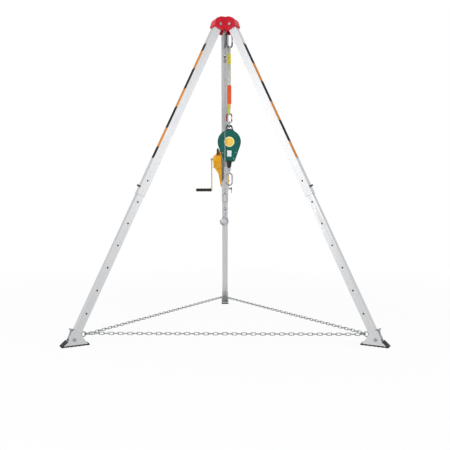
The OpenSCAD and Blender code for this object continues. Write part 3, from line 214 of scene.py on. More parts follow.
class Board:
    """The node tree of one material, or of the world."""

    def __init__(self, owner: bpy.types.Material | bpy.types.World) -> None:
        """Start with the owner's tree, emptied."""
        owner.use_nodes = True
        self.owner = owner
        self.tree = owner.node_tree
        self.tree.nodes.clear()

    @classmethod
    def material(cls, name: str) -> "Board":
        """The board of a new material."""
        return cls(bpy.data.materials.new(name))

    def node(self, kind: str, settings: dict | None = None, values: dict | None = None,
             output: int | str = 0) -> Signal:
        """Add a node.

        Args:
            kind: The node's type.
            settings: Its settings, set first; "stops" holds a ramp's places and colours.
            values: A number, colour or signal for each socket, by name or place.
            output: Which output is used.

        Returns:
            The chosen output.
        """
        made = self.tree.nodes.new(kind)
        for name, value in (settings or {}).items():
            if name == "stops":
                while len(made.color_ramp.elements) < len(value):
                    made.color_ramp.elements.new(0.5)
                for element, (place, colour) in zip(made.color_ramp.elements, value):
                    element.position = place
                    element.color = colour
            else:
                setattr(made, name, value)
        for key, value in (values or {}).items():
            if isinstance(value, Signal):
                self.tree.links.new(value.socket, made.inputs[key])
            else:
                made.inputs[key].default_value = value
        return Signal(self, made.outputs[output])

    def place(self) -> Signal:
        """The piece's own coordinates in metres."""
        return self.node("ShaderNodeTexCoord", output="Object")

    def part(self, at: Signal, axis: str) -> Signal:
        """One part of the coordinates: X, Y or Z."""
        return self.node("ShaderNodeSeparateXYZ", values={0: at}, output=axis)

    def cloth(self) -> tuple[Signal, Signal]:
        """The piece's UV map, as metres across and along."""
        flat = self.node("ShaderNodeTexCoord", output="UV")
        return self.part(flat, "X"), self.part(flat, "Y")

    def ray(self, kind: str) -> Signal:
        """One for rays of that kind, zero for all others."""
        return self.node("ShaderNodeLightPath", output=kind)

    def shown(self) -> Signal:
        """One for rays that show the surface to the camera, also through gloss and glass."""
        direct = self.ray("Is Camera Ray")
        glossy = direct.math("MAXIMUM", direct, self.ray("Is Glossy Ray"))
        return glossy.math("MAXIMUM", glossy, self.ray("Is Transmission Ray"))

    def scratches(self, at: Signal) -> Signal:
        """Fine marks that run one way across the metal."""
        return self.noise(self.turned(at, SCRATCH_TURN, SCRATCH_SCALE), 1.0, 2.0)

    def noise(self, at: Signal, scale: float, detail: float = 3.0) -> Signal:
        """A soft random pattern from 0 to 1, with so many cells in a metre and so many finer layers."""
        return self.node("ShaderNodeTexNoise", None, {"Vector": at, "Scale": scale, "Detail": detail})

    def turned(self, at: Signal, turn: Sequence[float], scale: Sequence[float]) -> Signal:
        """Coordinates turned about X, Y and Z in radians, and then stretched along the turned axes."""
        straight = self.node("ShaderNodeMapping", None, {"Vector": at, "Rotation": tuple(turn)})
        return self.node("ShaderNodeMapping", None, {"Vector": straight, "Scale": tuple(scale)})

    def edges(self, radius: float) -> Signal:
        """One along the edges of the shape, zero on its faces.

        Args:
            radius: How far an edge reaches.

        Returns:
            A signal from 0 to 1.
        """
        soft = self.node("ShaderNodeBevel", {"samples": 4}, {"Radius": radius}, "Normal")
        flat = self.node("ShaderNodeNewGeometry", output="Normal")
        level = self.node("ShaderNodeVectorMath", {"operation": "DOT_PRODUCT"}, {0: soft, 1: flat}, "Value")
        return self.ramp(1.0 - level, 0.02, 0.22)

    def ramp(self, value: Signal, low: float, high: float) -> Signal:
        """A value stretched so that low is 0 and high is 1, kept between them."""
        return self.node("ShaderNodeValToRGB", {"stops": ((low, BLACK), (high, WHITE))}, {"Fac": value})

    def mix(self, share: Any, first: Any, second: Any) -> Signal:
        """A mix of two colours by a share."""
        return self.node("ShaderNodeMix", {"data_type": "RGBA"}, {0: share, 6: first, 7: second}, 2)

    def tones(self, share: Any, colour: Colour, dark: float, light: float) -> Signal:
        """A colour that goes from a dark to a light tone of itself by a share."""
        return self.mix(share, shaded(colour, dark), shaded(colour, light))

    def shade(self, base: Any, roughness: Any, metallic: Any = 0.0, height: Signal | None = None,
              depth: float = 0.0002, **constants: Any) -> bpy.types.Material:
        """End the material in one shader.

        Args:
            base: The base colour or its signal.
            roughness: The roughness or its signal.
            metallic: The metallic share or its signal.
            height: The surface's relief, from 0 to 1.
            depth: How deep the relief is.
            constants: Other sockets' fixed values, with _ for a space in the name.

        Returns:
            The finished material.
        """
        values = {"Base Color": base, "Roughness": roughness, "Metallic": metallic}
        if height is not None:
            values["Normal"] = self.node("ShaderNodeBump", None,
                                         {"Height": height, "Distance": depth, "Strength": 1.0})
        for name, value in constants.items():
            values[name.replace("_", " ")] = value
        return self.end(self.node("ShaderNodeBsdfPrincipled", None, values))

    def end(self, shader: Signal, kind: str = "ShaderNodeOutputMaterial") -> Any:
        """Lead a shader to the output, and give back the material or world."""
        out = self.tree.nodes.new(kind)
        self.tree.links.new(shader.socket, out.inputs["Surface"])
        return self.owner


@dataclass(frozen=True)
class Paint:
    """Sprayed paint on cast or pressed metal, with orange peel, rubbed spots and worn edges."""

    name: str
    colour: Colour
    roughness: float = 0.32
    peel: float = 620.0
    rubbed: float = 0.5
    under: Colour = (0.5, 0.5, 0.51, 1.0)
    edge: float = 0.0016

    def make(self) -> bpy.types.Material:
        """The material of this paint."""
        board = Board.material(self.name)
        at = board.place()
        cloud = board.noise(at, 14.0, 5.0)
        grit = board.noise(at, 150.0, 6.0)
        base = board.tones(board.ramp(cloud, 0.3, 0.75), self.colour, 0.8, 1.12)
        scuff = board.ramp(grit * 0.6 + cloud * 0.4, 0.58, 0.68) * self.rubbed
        base = board.mix(scuff * 0.5, base, shaded(self.colour, 1.9))
        worn = board.edges(self.edge) * board.ramp(grit, 0.38, 0.62)
        base = board.mix(worn * (self.rubbed * 0.7), base, self.under)
        rough = self.roughness - 0.06 + cloud * 0.14 + scuff * 0.25
        peel = board.noise(at, self.peel, 2.0) * 0.7 + grit * 0.3
        return board.shade(base, rough, 0.0, peel, 0.00035, Specular_IOR_Level=0.22)


@dataclass(frozen=True)
class Metal:
    """Bare or plated metal, with clouding, fine scratches and handling marks."""

    name: str
    colour: Colour
    roughness: float = 0.3
    metallic: float = 1.0
    cloud_scale: float = 35.0
    contrast: float = 0.25
    scratch: float = 0.6

    def make(self) -> bpy.types.Material:
        """The material of this metal."""
        board = Board.material(self.name)
        at = board.place()
        cloud = board.noise(at, self.cloud_scale, 5.0)
        stain = board.ramp(board.noise(at, self.cloud_scale * 3.1, 7.0), 0.48, 0.72)
        fine = board.scratches(at)
        dark, light = 1.0 - self.contrast, 1.0 + self.contrast * 0.4
        base = board.tones(board.ramp(cloud, 0.3, 0.7), self.colour, dark, light)
        base = board.mix(stain * (self.contrast * 0.8), base, shaded(self.colour, 0.55))
        rough = self.roughness - 0.05 + stain * 0.14 + fine * (0.12 * self.scratch)
        return board.shade(base, rough, self.metallic, fine * self.scratch + cloud * 0.3, 0.00008)


@dataclass(frozen=True)
class Anodised:
    """Coloured metal whose two ends are rubbed bare by what hangs in them."""

    name: str
    colour: Colour
    bare: Colour
    middle: float
    reach: float

    def make(self) -> bpy.types.Material:
        """The material of this metal."""
        board = Board.material(self.name)
        at = board.place()
        cloud = board.noise(at, 60.0, 5.0)
        fine = board.scratches(at)
        away = (board.part(at, "Z") - self.middle).size()
        worn = board.ramp(away * (0.5 / self.reach) + cloud * 0.1, 0.5, 0.62)
        base = board.tones(board.ramp(cloud, 0.3, 0.7), self.colour, 0.75, 1.15)
        base = board.mix(worn, base, self.bare)
        rough = 0.28 + fine * 0.1 + worn * 0.05
        return board.shade(base, rough, worn * 0.4 + 0.6, fine * 0.6 + cloud * 0.3, 0.00008)


@dataclass(frozen=True)
class Extrusion:
    """Anodised aluminium tube, with draw lines along the leg."""

    name: str
    leg: Leg
    colour: Colour

    def make(self) -> bpy.types.Material:
        """The material of this tube."""
        board = Board.material(self.name)
        at = board.place()
        turn = Matrix((self.leg.tangent, self.leg.out, self.leg.down)).to_euler()
        lines = board.noise(board.turned(at, turn, (900.0, 900.0, 3.0)), 1.0, 3.0)
        broad = board.noise(board.turned(at, turn, (55.0, 55.0, 1.5)), 1.0, 2.0)
        cloud = board.noise(at, 11.0, 6.0)
        handled = board.ramp(board.noise(at, 46.0, 8.0), 0.56, 0.74)
        base = board.tones(board.ramp(broad * 0.6 + lines * 0.4, 0.3, 0.7), self.colour, 0.94, 1.04)
        base = board.mix(handled * 0.06, base, shaded(self.colour, 0.7))
        rough = 0.34 + cloud * 0.1 + lines * 0.08 + handled * 0.06
        return board.shade(base, rough, 0.88, lines * 0.8 + cloud * 0.2, 0.00007)


@dataclass(frozen=True)
class Moulded:
    """Moulded plastic or rubber, with a fine grain, flow clouds and dust."""

    name: str
    colour: Colour
    roughness: float = 0.5
    grain: float = 900.0
    depth: float = 0.0003
    dust: float = 0.3

    def make(self) -> bpy.types.Material:
        """The material of this moulding."""
        board = Board.material(self.name)
        at = board.place()
        cloud = board.noise(at, 22.0, 4.0)
        grain = board.noise(at, self.grain, 3.0)
        dust = board.ramp(board.noise(at, 70.0, 8.0), 0.5, 0.8) * self.dust
        base = board.tones(board.ramp(cloud, 0.3, 0.7), self.colour, 0.82, 1.15)
        base = board.mix(dust * 0.5, base, DUST)
        rough = self.roughness - 0.08 + cloud * 0.12 + dust * 0.3
        return board.shade(base, rough, 0.0, grain * 0.8 + cloud * 0.2, self.depth, Specular_IOR_Level=0.3)


@dataclass(frozen=True)
class Webbing:
    """Woven strap. Its UV map gives metres across and along."""

    name: str
    colour: Colour
    pitch: float = 0.0022
    fade: Colour | None = None
    fade_from: float = 0.0
    fade_to: float = 1.0

    def make(self) -> bpy.types.Material:
        """The material of this strap, with its dyed end where it has one."""
        board = Board.material(self.name)
        across, along = board.cloth()
        at = board.place()
        turn = 2 * math.pi / self.pitch
        warp = (across * turn).wave()
        twill = ((along * 0.8 + across * 1.4) * turn).wave()
        fuzz = board.noise(at, 1500.0, 3.0)
        cloud = board.noise(at, 40.0, 4.0)
        thread = warp * 0.45 + twill * 0.55
        # This colour signal follows the weave's relief: painted shade between the threads, painted highlight
        # on the raised threads, with random fibre tone.
        weave_shade = thread * 0.65 + fuzz * 0.35
        base = board.tones(weave_shade, self.colour, 0.55, 1.2)
        base = board.mix(board.ramp(cloud, 0.45, 0.75) * 0.35, base, shaded(self.colour, 0.6))
        if self.fade is not None:
            share = (board.part(at, "Z") - self.fade_from) * (1.0 / (self.fade_to - self.fade_from))
            base = board.mix(board.ramp(share, 0.0, 1.0), base, board.tones(weave_shade, self.fade, 0.55, 1.2))
        return board.shade(base, 0.72 + fuzz * 0.2, 0.0, thread * 0.8 + fuzz * 0.2, 0.0006,
                           Sheen_Weight=0.25, Sheen_Roughness=0.5)


@dataclass(frozen=True)
class Canvas:
    """Coated pouch cloth with a small square weave and soft creases."""

    name: str
    colour: Colour
    pitch: float = 0.0012

    def make(self) -> bpy.types.Material:
        """The material of this cloth."""
        board = Board.material(self.name)
        at = board.place()
        turn = 2 * math.pi / self.pitch
        level, rise = board.part(at, "X"), board.part(at, "Z")
        weave = (level * turn).sine() * (rise * turn).sine() * 0.5 + 0.5
        crease = board.noise(at, 85.0, 5.0)
        soil = board.ramp(board.noise(at, 45.0, 7.0), 0.5, 0.8)
        # The colour follows the weave and crease relief: painted shade in the hollows and creases, painted
        # highlight on the tops.
        base = board.tones(weave * 0.5 + crease * 0.5, self.colour, 0.72, 1.18)
        base = board.mix(soil * 0.3, base, shaded(self.colour, 0.5))
        return board.shade(base, 0.6 + crease * 0.25, 0.0, weave * 0.4 + crease * 0.6, 0.0007,
                           Sheen_Weight=0.2, Sheen_Roughness=0.5)


@dataclass(frozen=True)
class Tape:
    """Warning tape in dark and orange bands. Its UV map gives metres across and along."""

    name: str
    dark: Colour
    bright: Colour
    offset: float
    period: float = 0.300
    dark_share: float = 0.53
    cells: float = 2600.0

    def make(self) -> bpy.types.Material:
        """The material of this tape."""
        board = Board.material(self.name)
        across, along = board.cloth()
        at = board.place()
        ragged = board.noise(at, 240.0, 3.0) * 0.0012
        step = (along + ragged + self.offset).wrapped(self.period)
        band = step > self.period * self.dark_share
        scuff = board.ramp(board.noise(at, 120.0, 8.0), 0.55, 0.75)
        cell = ((across * self.cells).sine() * (along * self.cells).sine()) * 0.5 + 0.5
        bright = board.mix(cell * 0.35 + scuff * 0.3, self.bright, shaded(self.bright, 0.72))
        dark = board.mix(scuff * 0.25, self.dark, (0.12, 0.12, 0.12, 1.0))
        base = board.mix(band, dark, bright)
        return board.shade(base, 0.62 + scuff * 0.25, 0.0, cell * 0.4 + scuff * 0.6, 0.00012,
                           Specular_IOR_Level=0.06)


TUBE_SILVER = srgb(207, 208, 210)
TAPE_DARK, TAPE_BRIGHT = srgb(20, 20, 21), srgb(214, 138, 58)
TAPE_OFFSETS = {Leg.LEFT: 0.100, Leg.RIGHT: 0.0, Leg.REAR: 0.0}

FINISHES: dict[str, Any] = {finish.name: finish for finish in (
    Paint("red_paint", srgb(210, 14, 42), 0.3),
    Paint("winch_yellow", srgb(242, 174, 22), 0.34),
    Paint("block_green", srgb(6, 94, 84), 0.36, 900.0, 0.35),
    Metal("crank_gold", srgb(206, 176, 96), 0.34, 0.85),
    Metal("zinc_steel", srgb(168, 170, 172), 0.36, 1.0, 60.0, 0.3),
    Metal("bright_steel", srgb(164, 166, 170), 0.24, 1.0, 40.0, 0.3),
    Metal("smoked_steel", srgb(112, 113, 116), 0.3, 1.0, 40.0, 0.3),
    Metal("dark_metal", srgb(66, 66, 68), 0.42, 0.8, 50.0, 0.3),
    Metal("spring_steel", srgb(98, 100, 104), 0.3),
    Metal("wire_rope", srgb(168, 170, 172), 0.38, 1.0, 260.0, 0.4, 1.0),
    Anodised("maroon_metal", srgb(140, 26, 46), srgb(176, 178, 180), 1.46333, 0.027),
    Moulded("black_rubber", srgb(26, 26, 27), 0.68, 700.0, 0.0004, 0.45),
    Moulded("black_plastic", srgb(30, 31, 33), 0.48, 1100.0, 0.0002, 0.25),
    Moulded("thread", srgb(226, 224, 214), 0.75, 2600.0, 0.0003, 0.2),
    Moulded("label_yellow", srgb(246, 200, 84), 0.36, 800.0, 0.00008, 0.2),
    Moulded("label_rim", srgb(250, 238, 178), 0.36, 800.0, 0.00008, 0.2),
    Moulded("label_white", srgb(238, 242, 240), 0.34, 800.0, 0.00008, 0.2),
    Webbing("olive_webbing", srgb(214, 214, 202)),
    Webbing("lime_webbing", srgb(206, 212, 70), fade=srgb(248, 178, 44), fade_from=1.520, fade_to=1.548),
    Canvas("yellow_sleeve", srgb(232, 212, 40), 0.0016),
    Canvas("orange_fabric", srgb(240, 84, 32)),
    *(Extrusion(f"tube_{leg.word}", leg, TUBE_SILVER) for leg in Leg),
    *(Tape(f"tape_{leg.word}", TAPE_DARK, TAPE_BRIGHT, offset) for leg, offset in TAPE_OFFSETS.items()),
)}


class Palette:
    """Makes each finish's material once."""

    def __init__(self) -> None:
        """Start with no material made."""
        self.made: dict[str, bpy.types.Material] = {}

    def of(self, name: str) -> bpy.types.Material:
        """The material of that finish."""
        if name not in self.made:
            self.made[name] = FINISHES[name].make()
        return self.made[name]

    def dress(self, piece: Piece, name: str) -> None:
        """Give a piece that finish all over."""
        piece.data.materials.clear()
        piece.data.materials.append(self.of(name))


PALETTE = Palette()


class Bench:
    """The operators that shape a piece, used one piece at a time."""

    @staticmethod
    def bare() -> None:
        """Leave nothing selected."""
        if bpy.context.object is not None and bpy.context.object.mode != "OBJECT":
            bpy.ops.object.mode_set(mode="OBJECT")
        bpy.ops.object.select_all(action="DESELECT")

    @staticmethod
    def take(piece: Piece) -> Piece:
        """Select one piece alone and make it the active one."""
        Bench.bare()
        piece.select_set(True)
        bpy.context.view_layer.objects.active = piece
        return piece

    @staticmethod
    def named(name: str) -> Piece:
        """Name the primitive that was just added."""
        piece = bpy.context.object
        piece.name = name
        piece.data.name = name
        return piece

    @staticmethod
    def start(name: str, primitive: Callable[..., Any], **settings: Any) -> Piece:
        """Add a primitive by its operator, with nothing else selected, and name it."""
        Bench.bare()
        primitive(**settings)
        return Bench.named(name)

    @staticmethod
    def every(item: Any) -> bool:
        """The test that picks everything."""
        return True

    @staticmethod
    def pick(piece: Piece, kind: str, wanted: Callable[[Any], bool]) -> None:
        """Select vertices, edges or faces by a test, and go into edit mode.

        Args:
            piece: The piece to work on.
            kind: VERT, EDGE or FACE.
            wanted: A test that takes one vertex, edge or face.
        """
        Bench.take(piece)
        bpy.ops.object.mode_set(mode="EDIT")
        bpy.ops.mesh.select_mode(type=kind)
        bpy.ops.mesh.select_all(action="DESELECT")
        bpy.ops.object.mode_set(mode="OBJECT")
        mesh = piece.data
        group = {"VERT": mesh.vertices, "EDGE": mesh.edges, "FACE": mesh.polygons}[kind]
        for item in group:
            item.select = bool(wanted(item))
        bpy.ops.object.mode_set(mode="EDIT")

    @staticmethod
    def draw_up(height: float) -> None:
        """Extrude the selected faces along Z."""
        bpy.ops.mesh.extrude_region_move(TRANSFORM_OT_translate={"value": (0, 0, height)})

    @staticmethod
    def finish_mesh(piece: Piece, angle: float = 35.0) -> Piece:
        """Merge doubles, turn the faces outwards and smooth the shading up to an angle.

        Args:
            piece: The piece to finish.
            angle: Edges sharper than this many degrees stay sharp.

        Returns:
            The same piece, in object mode.
        """
        Bench.take(piece)
        bpy.ops.object.mode_set(mode="EDIT")
        bpy.ops.mesh.select_all(action="SELECT")
        bpy.ops.mesh.remove_doubles(threshold=MERGE_LIMIT)
        bpy.ops.mesh.normals_make_consistent(inside=False)
        bpy.ops.object.mode_set(mode="OBJECT")
        bpy.ops.object.shade_smooth_by_angle(angle=math.radians(angle))
        return piece

    @staticmethod
    def modifier(piece: Piece, kind: str, **settings: Any) -> bpy.types.Modifier:
        """Add a modifier with settings, and leave it live."""
        made = piece.modifiers.new(kind.lower(), kind)
        for name, value in settings.items():
            setattr(made, name, value)
        return made

    @staticmethod
    def modify(piece: Piece, kind: str, **settings: Any) -> Piece:
        """Add a modifier with settings and apply it.

        Args:
            piece: The piece to change.
            kind: The modifier's type.
            settings: The modifier's settings.

        Returns:
            The same piece.
        """
        Bench.take(piece)
        bpy.ops.object.modifier_apply(modifier=Bench.modifier(piece, kind, **settings).name)
        return piece

    @staticmethod
    def place(piece: Piece, matrix: Matrix) -> Piece:
        """Move a piece by its mesh, so that its object stays at the origin."""
        piece.data.transform(matrix)
        piece.data.update()
        return piece

    @staticmethod
    def copy(piece: Piece, matrix: Matrix) -> Piece:
        """A copy of a piece with its own mesh, moved by a matrix."""
        twin = piece.copy()
        twin.data = piece.data.copy()
        bpy.context.scene.collection.objects.link(twin)
        return Bench.place(twin, matrix)

    @staticmethod
    def join(pieces: Sequence[Piece], name: str) -> Piece:
        """Join pieces into one.

        Args:
            pieces: The pieces, all of them meshes at the origin.
            name: The name of the result.

        Returns:
            The joined piece.
        """
        Bench.take(pieces[0])
        for piece in pieces:
            piece.select_set(True)
        bpy.ops.object.join()
        return Bench.named(name)

    @staticmethod
    def repeat(model: Piece, places: Iterable[Matrix], name: str) -> Piece:
        """One piece made of copies of a model, one at each place."""
        return Bench.join([Bench.copy(model, place) for place in places], name)

    @staticmethod
    def lathe(name: str, profile: Sequence[tuple[float, float]], sides: int) -> Piece:
        """A turned piece about Z, drawn up from a filled circle by extrusion.

        Args:
            name: The piece's name.
            profile: Radius and height of each ring, from the bottom up.
            sides: Corners of each ring.

        Returns:
            The closed turned piece.
        """
        radius, height = profile[0]
        piece = Bench.start(name, bpy.ops.mesh.primitive_circle_add, vertices=sides, radius=radius,
                            fill_type="NGON", location=(0, 0, height))
        bpy.ops.object.transform_apply(location=True, rotation=True, scale=True)
        bpy.ops.object.mode_set(mode="EDIT")
        bpy.ops.mesh.select_all(action="SELECT")
        for wide, top in profile[1:]:
            Bench.draw_up(top - height)
            share = wide / radius
            bpy.ops.transform.resize(value=(share, share, 1.0), center_override=(0, 0, top))
            radius, height = wide, top
        bpy.ops.object.mode_set(mode="OBJECT")
        return Bench.finish_mesh(piece)

    @staticmethod
    def plate(name: str, outline: Sequence[tuple[float, float]], thick: float, edge: float) -> Piece:
        """A flat plate on XY, drawn up from its outline and softened along its edges.

        Args:
            name: The piece's name.
            outline: The corners in order.
            thick: The plate's thickness, along Z.
            edge: The width of its softened edges.

        Returns:
            The closed plate.
        """
        piece = Bench.start(name, bpy.ops.mesh.primitive_circle_add, vertices=len(outline), radius=1.0,
                            fill_type="NGON")
        for vertex, corner in zip(piece.data.vertices, outline):
            vertex.co = (*corner, 0.0)
        Bench.pick(piece, "FACE", Bench.every)
        Bench.draw_up(thick)
        Bench.finish_mesh(piece, 40.0)
        return Bench.modify(piece, "BEVEL", width=edge, segments=2, limit_method="ANGLE")

    @staticmethod
    def steps(path: Sequence[Vector]) -> Iterator[tuple[Vector, Vector, float]]:
        """Each point of a path, with the path's direction there and its length so far."""
        gone = 0.0
        for i, point in enumerate(path):
            before, after = path[max(i - 1, 0)], path[min(i + 1, len(path) - 1)]
            gone += (point - before).length
            yield point, (after - before).normalized(), gone

    @staticmethod
    def sweep(name: str, rings: Sequence[Sequence[Vector]], along: Sequence[float],
              across: Sequence[float]) -> Piece:
        """A closed tube over rings of points, with a UV map in metres.

        Args:
            name: The piece's name.
            rings: The rings of the tube, each with the same number of points.
            along: The length from the start to each ring.
            across: The distance across for each point of a ring, and for the point after the last.

        Returns:
            The tube with capped ends.
        """
        count = len(rings[0])
        points = [tuple(point) for ring in rings for point in ring]
        faces = [tuple(reversed(range(count)))]
        for row in range(len(rings) - 1):
            for k in range(count):
                low, high = row * count + k, row * count + (k + 1) % count
                faces.append((low, high, high + count, low + count))
        faces.append(tuple(range((len(rings) - 1) * count, len(rings) * count)))
        mesh = bpy.data.meshes.new(name)
        mesh.from_pydata(points, [], faces)
        layer = mesh.uv_layers.new(name="flat")
        for face in mesh.polygons:
            columns = {vertex % count for vertex in face.vertices}
            seam = columns == {0, count - 1}
            for loop in face.loop_indices:
                vertex = mesh.loops[loop].vertex_index
                column = count if seam and vertex % count == 0 else vertex % count
                layer.data[loop].uv = (across[column], along[vertex // count])
        piece = bpy.data.objects.new(name, mesh)
        bpy.context.scene.collection.objects.link(piece)
        return Bench.finish_mesh(piece, 60.0)


def hand_over(piece: Piece, finish: str, body: str | None = None,
              stands_for: Iterable[str] = ()) -> Piece:
    """Dress a finished piece and set it on its body.

    Args:
        piece: The finished piece.
        finish: The name of its finish.
        body: The CAD body that it rides on, or None for a piece on no body.
        stands_for: CAD nodes that it replaces.

    Returns:
        The same piece.
    """
    PALETTE.dress(piece, finish)
    if body is not None:
        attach(piece, body)
    if stands_for:
        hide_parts(*stands_for)
    LOG.info("piece %s, %d faces", piece.name, len(piece.data.polygons))
    return piece


@dataclass
class Studio:
    """Camera, lights, floor and backdrop."""

    eye: tuple[float, float, float] = (0.0, -3.8589, 0.7703)
    pitch: float = math.pi / 2 - 0.0158
    lens: float = 41.24
    sensor: float = 36.0
    view_end: float = 200.0
    lamps: tuple[tuple[str, float, float, tuple[float, float, float]], ...] = (
        ("key", 62.0, 2.6, (-1.2, -4.4, 3.8)), ("left", 40.0, 2.6, (-3.6, -2.2, 1.5)),
        ("right", 31.0, 2.6, (3.6, -2.2, 1.5)), ("back", 12.0, 3.0, (0.6, 3.6, 3.4)))
    lamp_aim: float = 1.1
    sky: float = 0.66
    sky_colour: Colour = (0.97, 0.98, 1.0, 1.0)
    shine: float = 0.86
    floor_size: float = 60.0
    floor_drop: float = 0.0005
    floor_colour: Colour = (0.9, 0.9, 0.9, 1.0)
    floor_near: float = 0.90
    fade_span: float = 10.0
    fade: tuple[float, float] = (0.13, 0.45)

    def build_camera(self) -> None:
        """Set the camera at the photograph's place."""
        data = bpy.data.cameras.new("camera")
        data.sensor_width = self.sensor
        data.lens = self.lens
        data.clip_end = self.view_end
        camera = bpy.data.objects.new("camera", data)
        camera.location = self.eye
        camera.rotation_euler = (self.pitch, 0.0, 0.0)
        bpy.context.scene.collection.objects.link(camera)
        bpy.context.scene.camera = camera
        bpy.context.scene.view_settings.view_transform = "Standard"

    def build_lights(self) -> None:
        """Hang soft lamps: a key in front, one at each side of it and one behind."""
        for name, power, size, at in self.lamps:
            data = bpy.data.lights.new(name, "AREA")
            data.energy = power
            data.size = size
            lamp = bpy.data.objects.new(name, data)
            lamp.location = at
            aim = Vector((0.0, 0.0, self.lamp_aim)) - Vector(at)
            lamp.rotation_euler = aim.to_track_quat("-Z", "Y").to_euler()
            bpy.context.scene.collection.objects.link(lamp)

    def build_sky(self) -> None:
        """Show white behind the object and in its reflections, and light it evenly."""
        world = bpy.data.worlds.new("sky")
        bpy.context.scene.world = world
        board = Board(world)
        bright = board.ray("Is Camera Ray") * (1.0 - self.shine) + self.shine
        seen = board.node("ShaderNodeBackground", None, {"Color": WHITE, "Strength": bright})
        light = board.node("ShaderNodeBackground", None, {"Color": self.sky_colour, "Strength": self.sky})
        both = board.node("ShaderNodeMixShader", None, {"Fac": board.shown(), 1: light, 2: seen})
        board.end(both, "ShaderNodeOutputWorld")

    def build_floor(self) -> None:
        """Lay a plain pale floor that keeps the shadow."""
        floor = Bench.start("floor", bpy.ops.mesh.primitive_plane_add, size=self.floor_size,
                            location=(0, 0, -self.floor_drop))
        board = Board.material("floor")
        matt = board.node("ShaderNodeBsdfDiffuse", None, {"Color": self.floor_colour})
        lit = board.node("ShaderNodeEmission", None, {"Color": WHITE, "Strength": 1.0})
        far = board.node("ShaderNodeVectorMath", {"operation": "LENGTH"}, {0: board.place()}, "Value")
        share = board.ramp(far * (1.0 / self.fade_span), *self.fade)
        share = share * (1.0 - self.floor_near) + self.floor_near
        both = board.node("ShaderNodeMixShader", None, {"Fac": board.shown() * share, 1: matt, 2: lit})
        floor.data.materials.append(board.end(both))


@dataclass
class WireRope:
    """The winch cable, in three runs, and the start of the block's cable."""

    diameter: float = 0.0048
    strands: int = 6
    lay: float = 0.032
    sheave: tuple[float, float, float] = (0.0, -0.301287, 1.84839)
    sheave_r: float = 0.0184
    drum: tuple[float, float, float] = (0.0, 0.130722, 1.19478)
    wound_r: float = 0.0362
    loop_step: float = 0.0054
    loops: float = 3.5
    run_lean: float = math.radians(34.7646)
    lead: float = 0.0208
    lead_steps: int = 6
    fall_len: float = 0.880
    fall_gap: float = 0.0003
    lift: float = 0.3412
    step: float = 0.0032
    sheave_steps: int = 28
    loop_steps: int = 72
    groove: float = 0.84
    block_foot_z: float = 1.11667
    block_len: float = 0.047
    block_diameter: float = 0.005

    def strand_tube(self, name: str, path: Sequence[Vector], diameter: float) -> Piece:
        """A rope of twisted strands along a path.

        Args:
            name: The piece's name.
            path: Points along the rope's middle line, close together.
            diameter: The rope's outside diameter.

        Returns:
            The rope as one closed mesh.
        """
        sides = self.strands * 3
        outside = diameter / 2
        rings, along = [], []
        steady = Vector((1.0, 0.0, 0.0))
        for point, way, gone in Bench.steps(path):
            side = way.cross(steady).normalized()
            rise = side.cross(way)
            ring = []
            for k in range(sides):
                turn = 2 * math.pi * (k / sides + gone / self.lay)
                reach = outside * (1.0 if k % 3 else self.groove)
                ring.append(point + (side * math.cos(turn) + rise * math.sin(turn)) * reach)
            rings.append(ring)
            along.append(gone)
        across = [math.pi * diameter * k / sides for k in range(sides + 1)]
        return Bench.sweep(name, rings, along, across)

    @staticmethod
    def straight(start: Vector, end: Vector, step: float) -> list[Vector]:
        """Points from start to end, about a step apart."""
        count = max(2, round((end - start).length / step))
        return [start.lerp(end, i / count) for i in range(count + 1)]

    def build_fall(self) -> None:
        """The free fall from the sheave to the ferrule."""
        top = Vector(self.sheave) + Vector((0, -self.sheave_r, -self.fall_gap))
        foot = top - Vector((0, 0, self.fall_len))
        path = self.straight(top, foot, self.step)
        rope = self.strand_tube("winch_rope_fall", path, self.diameter)
        hand_over(rope, "wire_rope", "head", ["cable_fall"])
        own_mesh(rope)

    def build_run(self) -> None:
        """The run from the drum up to the sheave and over it."""
        side = Vector((0, math.cos(self.run_lean), math.sin(self.run_lean)))
        top = Vector(self.sheave) + side * self.sheave_r
        foot = Vector(self.drum) + side * self.wound_r
        foot = foot + (top - foot).normalized() * (self.lead + self.fall_gap)
        path = []
        for i in range(self.sheave_steps):
            turn = math.pi + (self.run_lean - math.pi) * i / self.sheave_steps
            path.append(Vector(self.sheave) + Vector((0, math.cos(turn), math.sin(turn))) * self.sheave_r)
        path += self.straight(top, foot, self.step)
        rope = self.strand_tube("winch_rope_run", path, self.diameter)
        hand_over(rope, "wire_rope", None, ["cable_run"])
        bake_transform(rope)

    def build_winding(self) -> None:
        """The outer layer on the drum, one helix whose end leads into the run."""
        steps = self.loop_steps
        count = round(self.loops * steps)
        path = []
        for i in range(count + 1):
            turn = self.run_lean - (count - i) * 2 * math.pi / steps
            side = Vector((0, math.cos(turn), math.sin(turn))) * self.wound_r
            path.append(Vector(self.drum) + side + Vector(((i - count) * self.loop_step / steps, 0, 0)))
        way = Vector((0, -math.sin(self.run_lean), math.cos(self.run_lean))) * self.lead
        path += [path[-1] + way * (step / self.lead_steps) for step in range(1, self.lead_steps + 1)]
        rope = self.strand_tube("winch_rope_wound", path, self.diameter)
        hand_over(rope, "wire_rope", "drum", ["cable_winding"])

    def build_block_start(self) -> None:
        """The start of the block's cable, inside its nozzle at rest."""
        foot = Vector((LINE_X, LINE_Y, self.block_foot_z))
        top = foot + Vector((0, 0, self.block_len))
        path = self.straight(top, foot, self.step / 2)
        rope = self.strand_tube("block_rope_start", path, self.block_diameter)
        hand_over(rope, "wire_rope", None, ["block_cable"])
        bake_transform(rope)


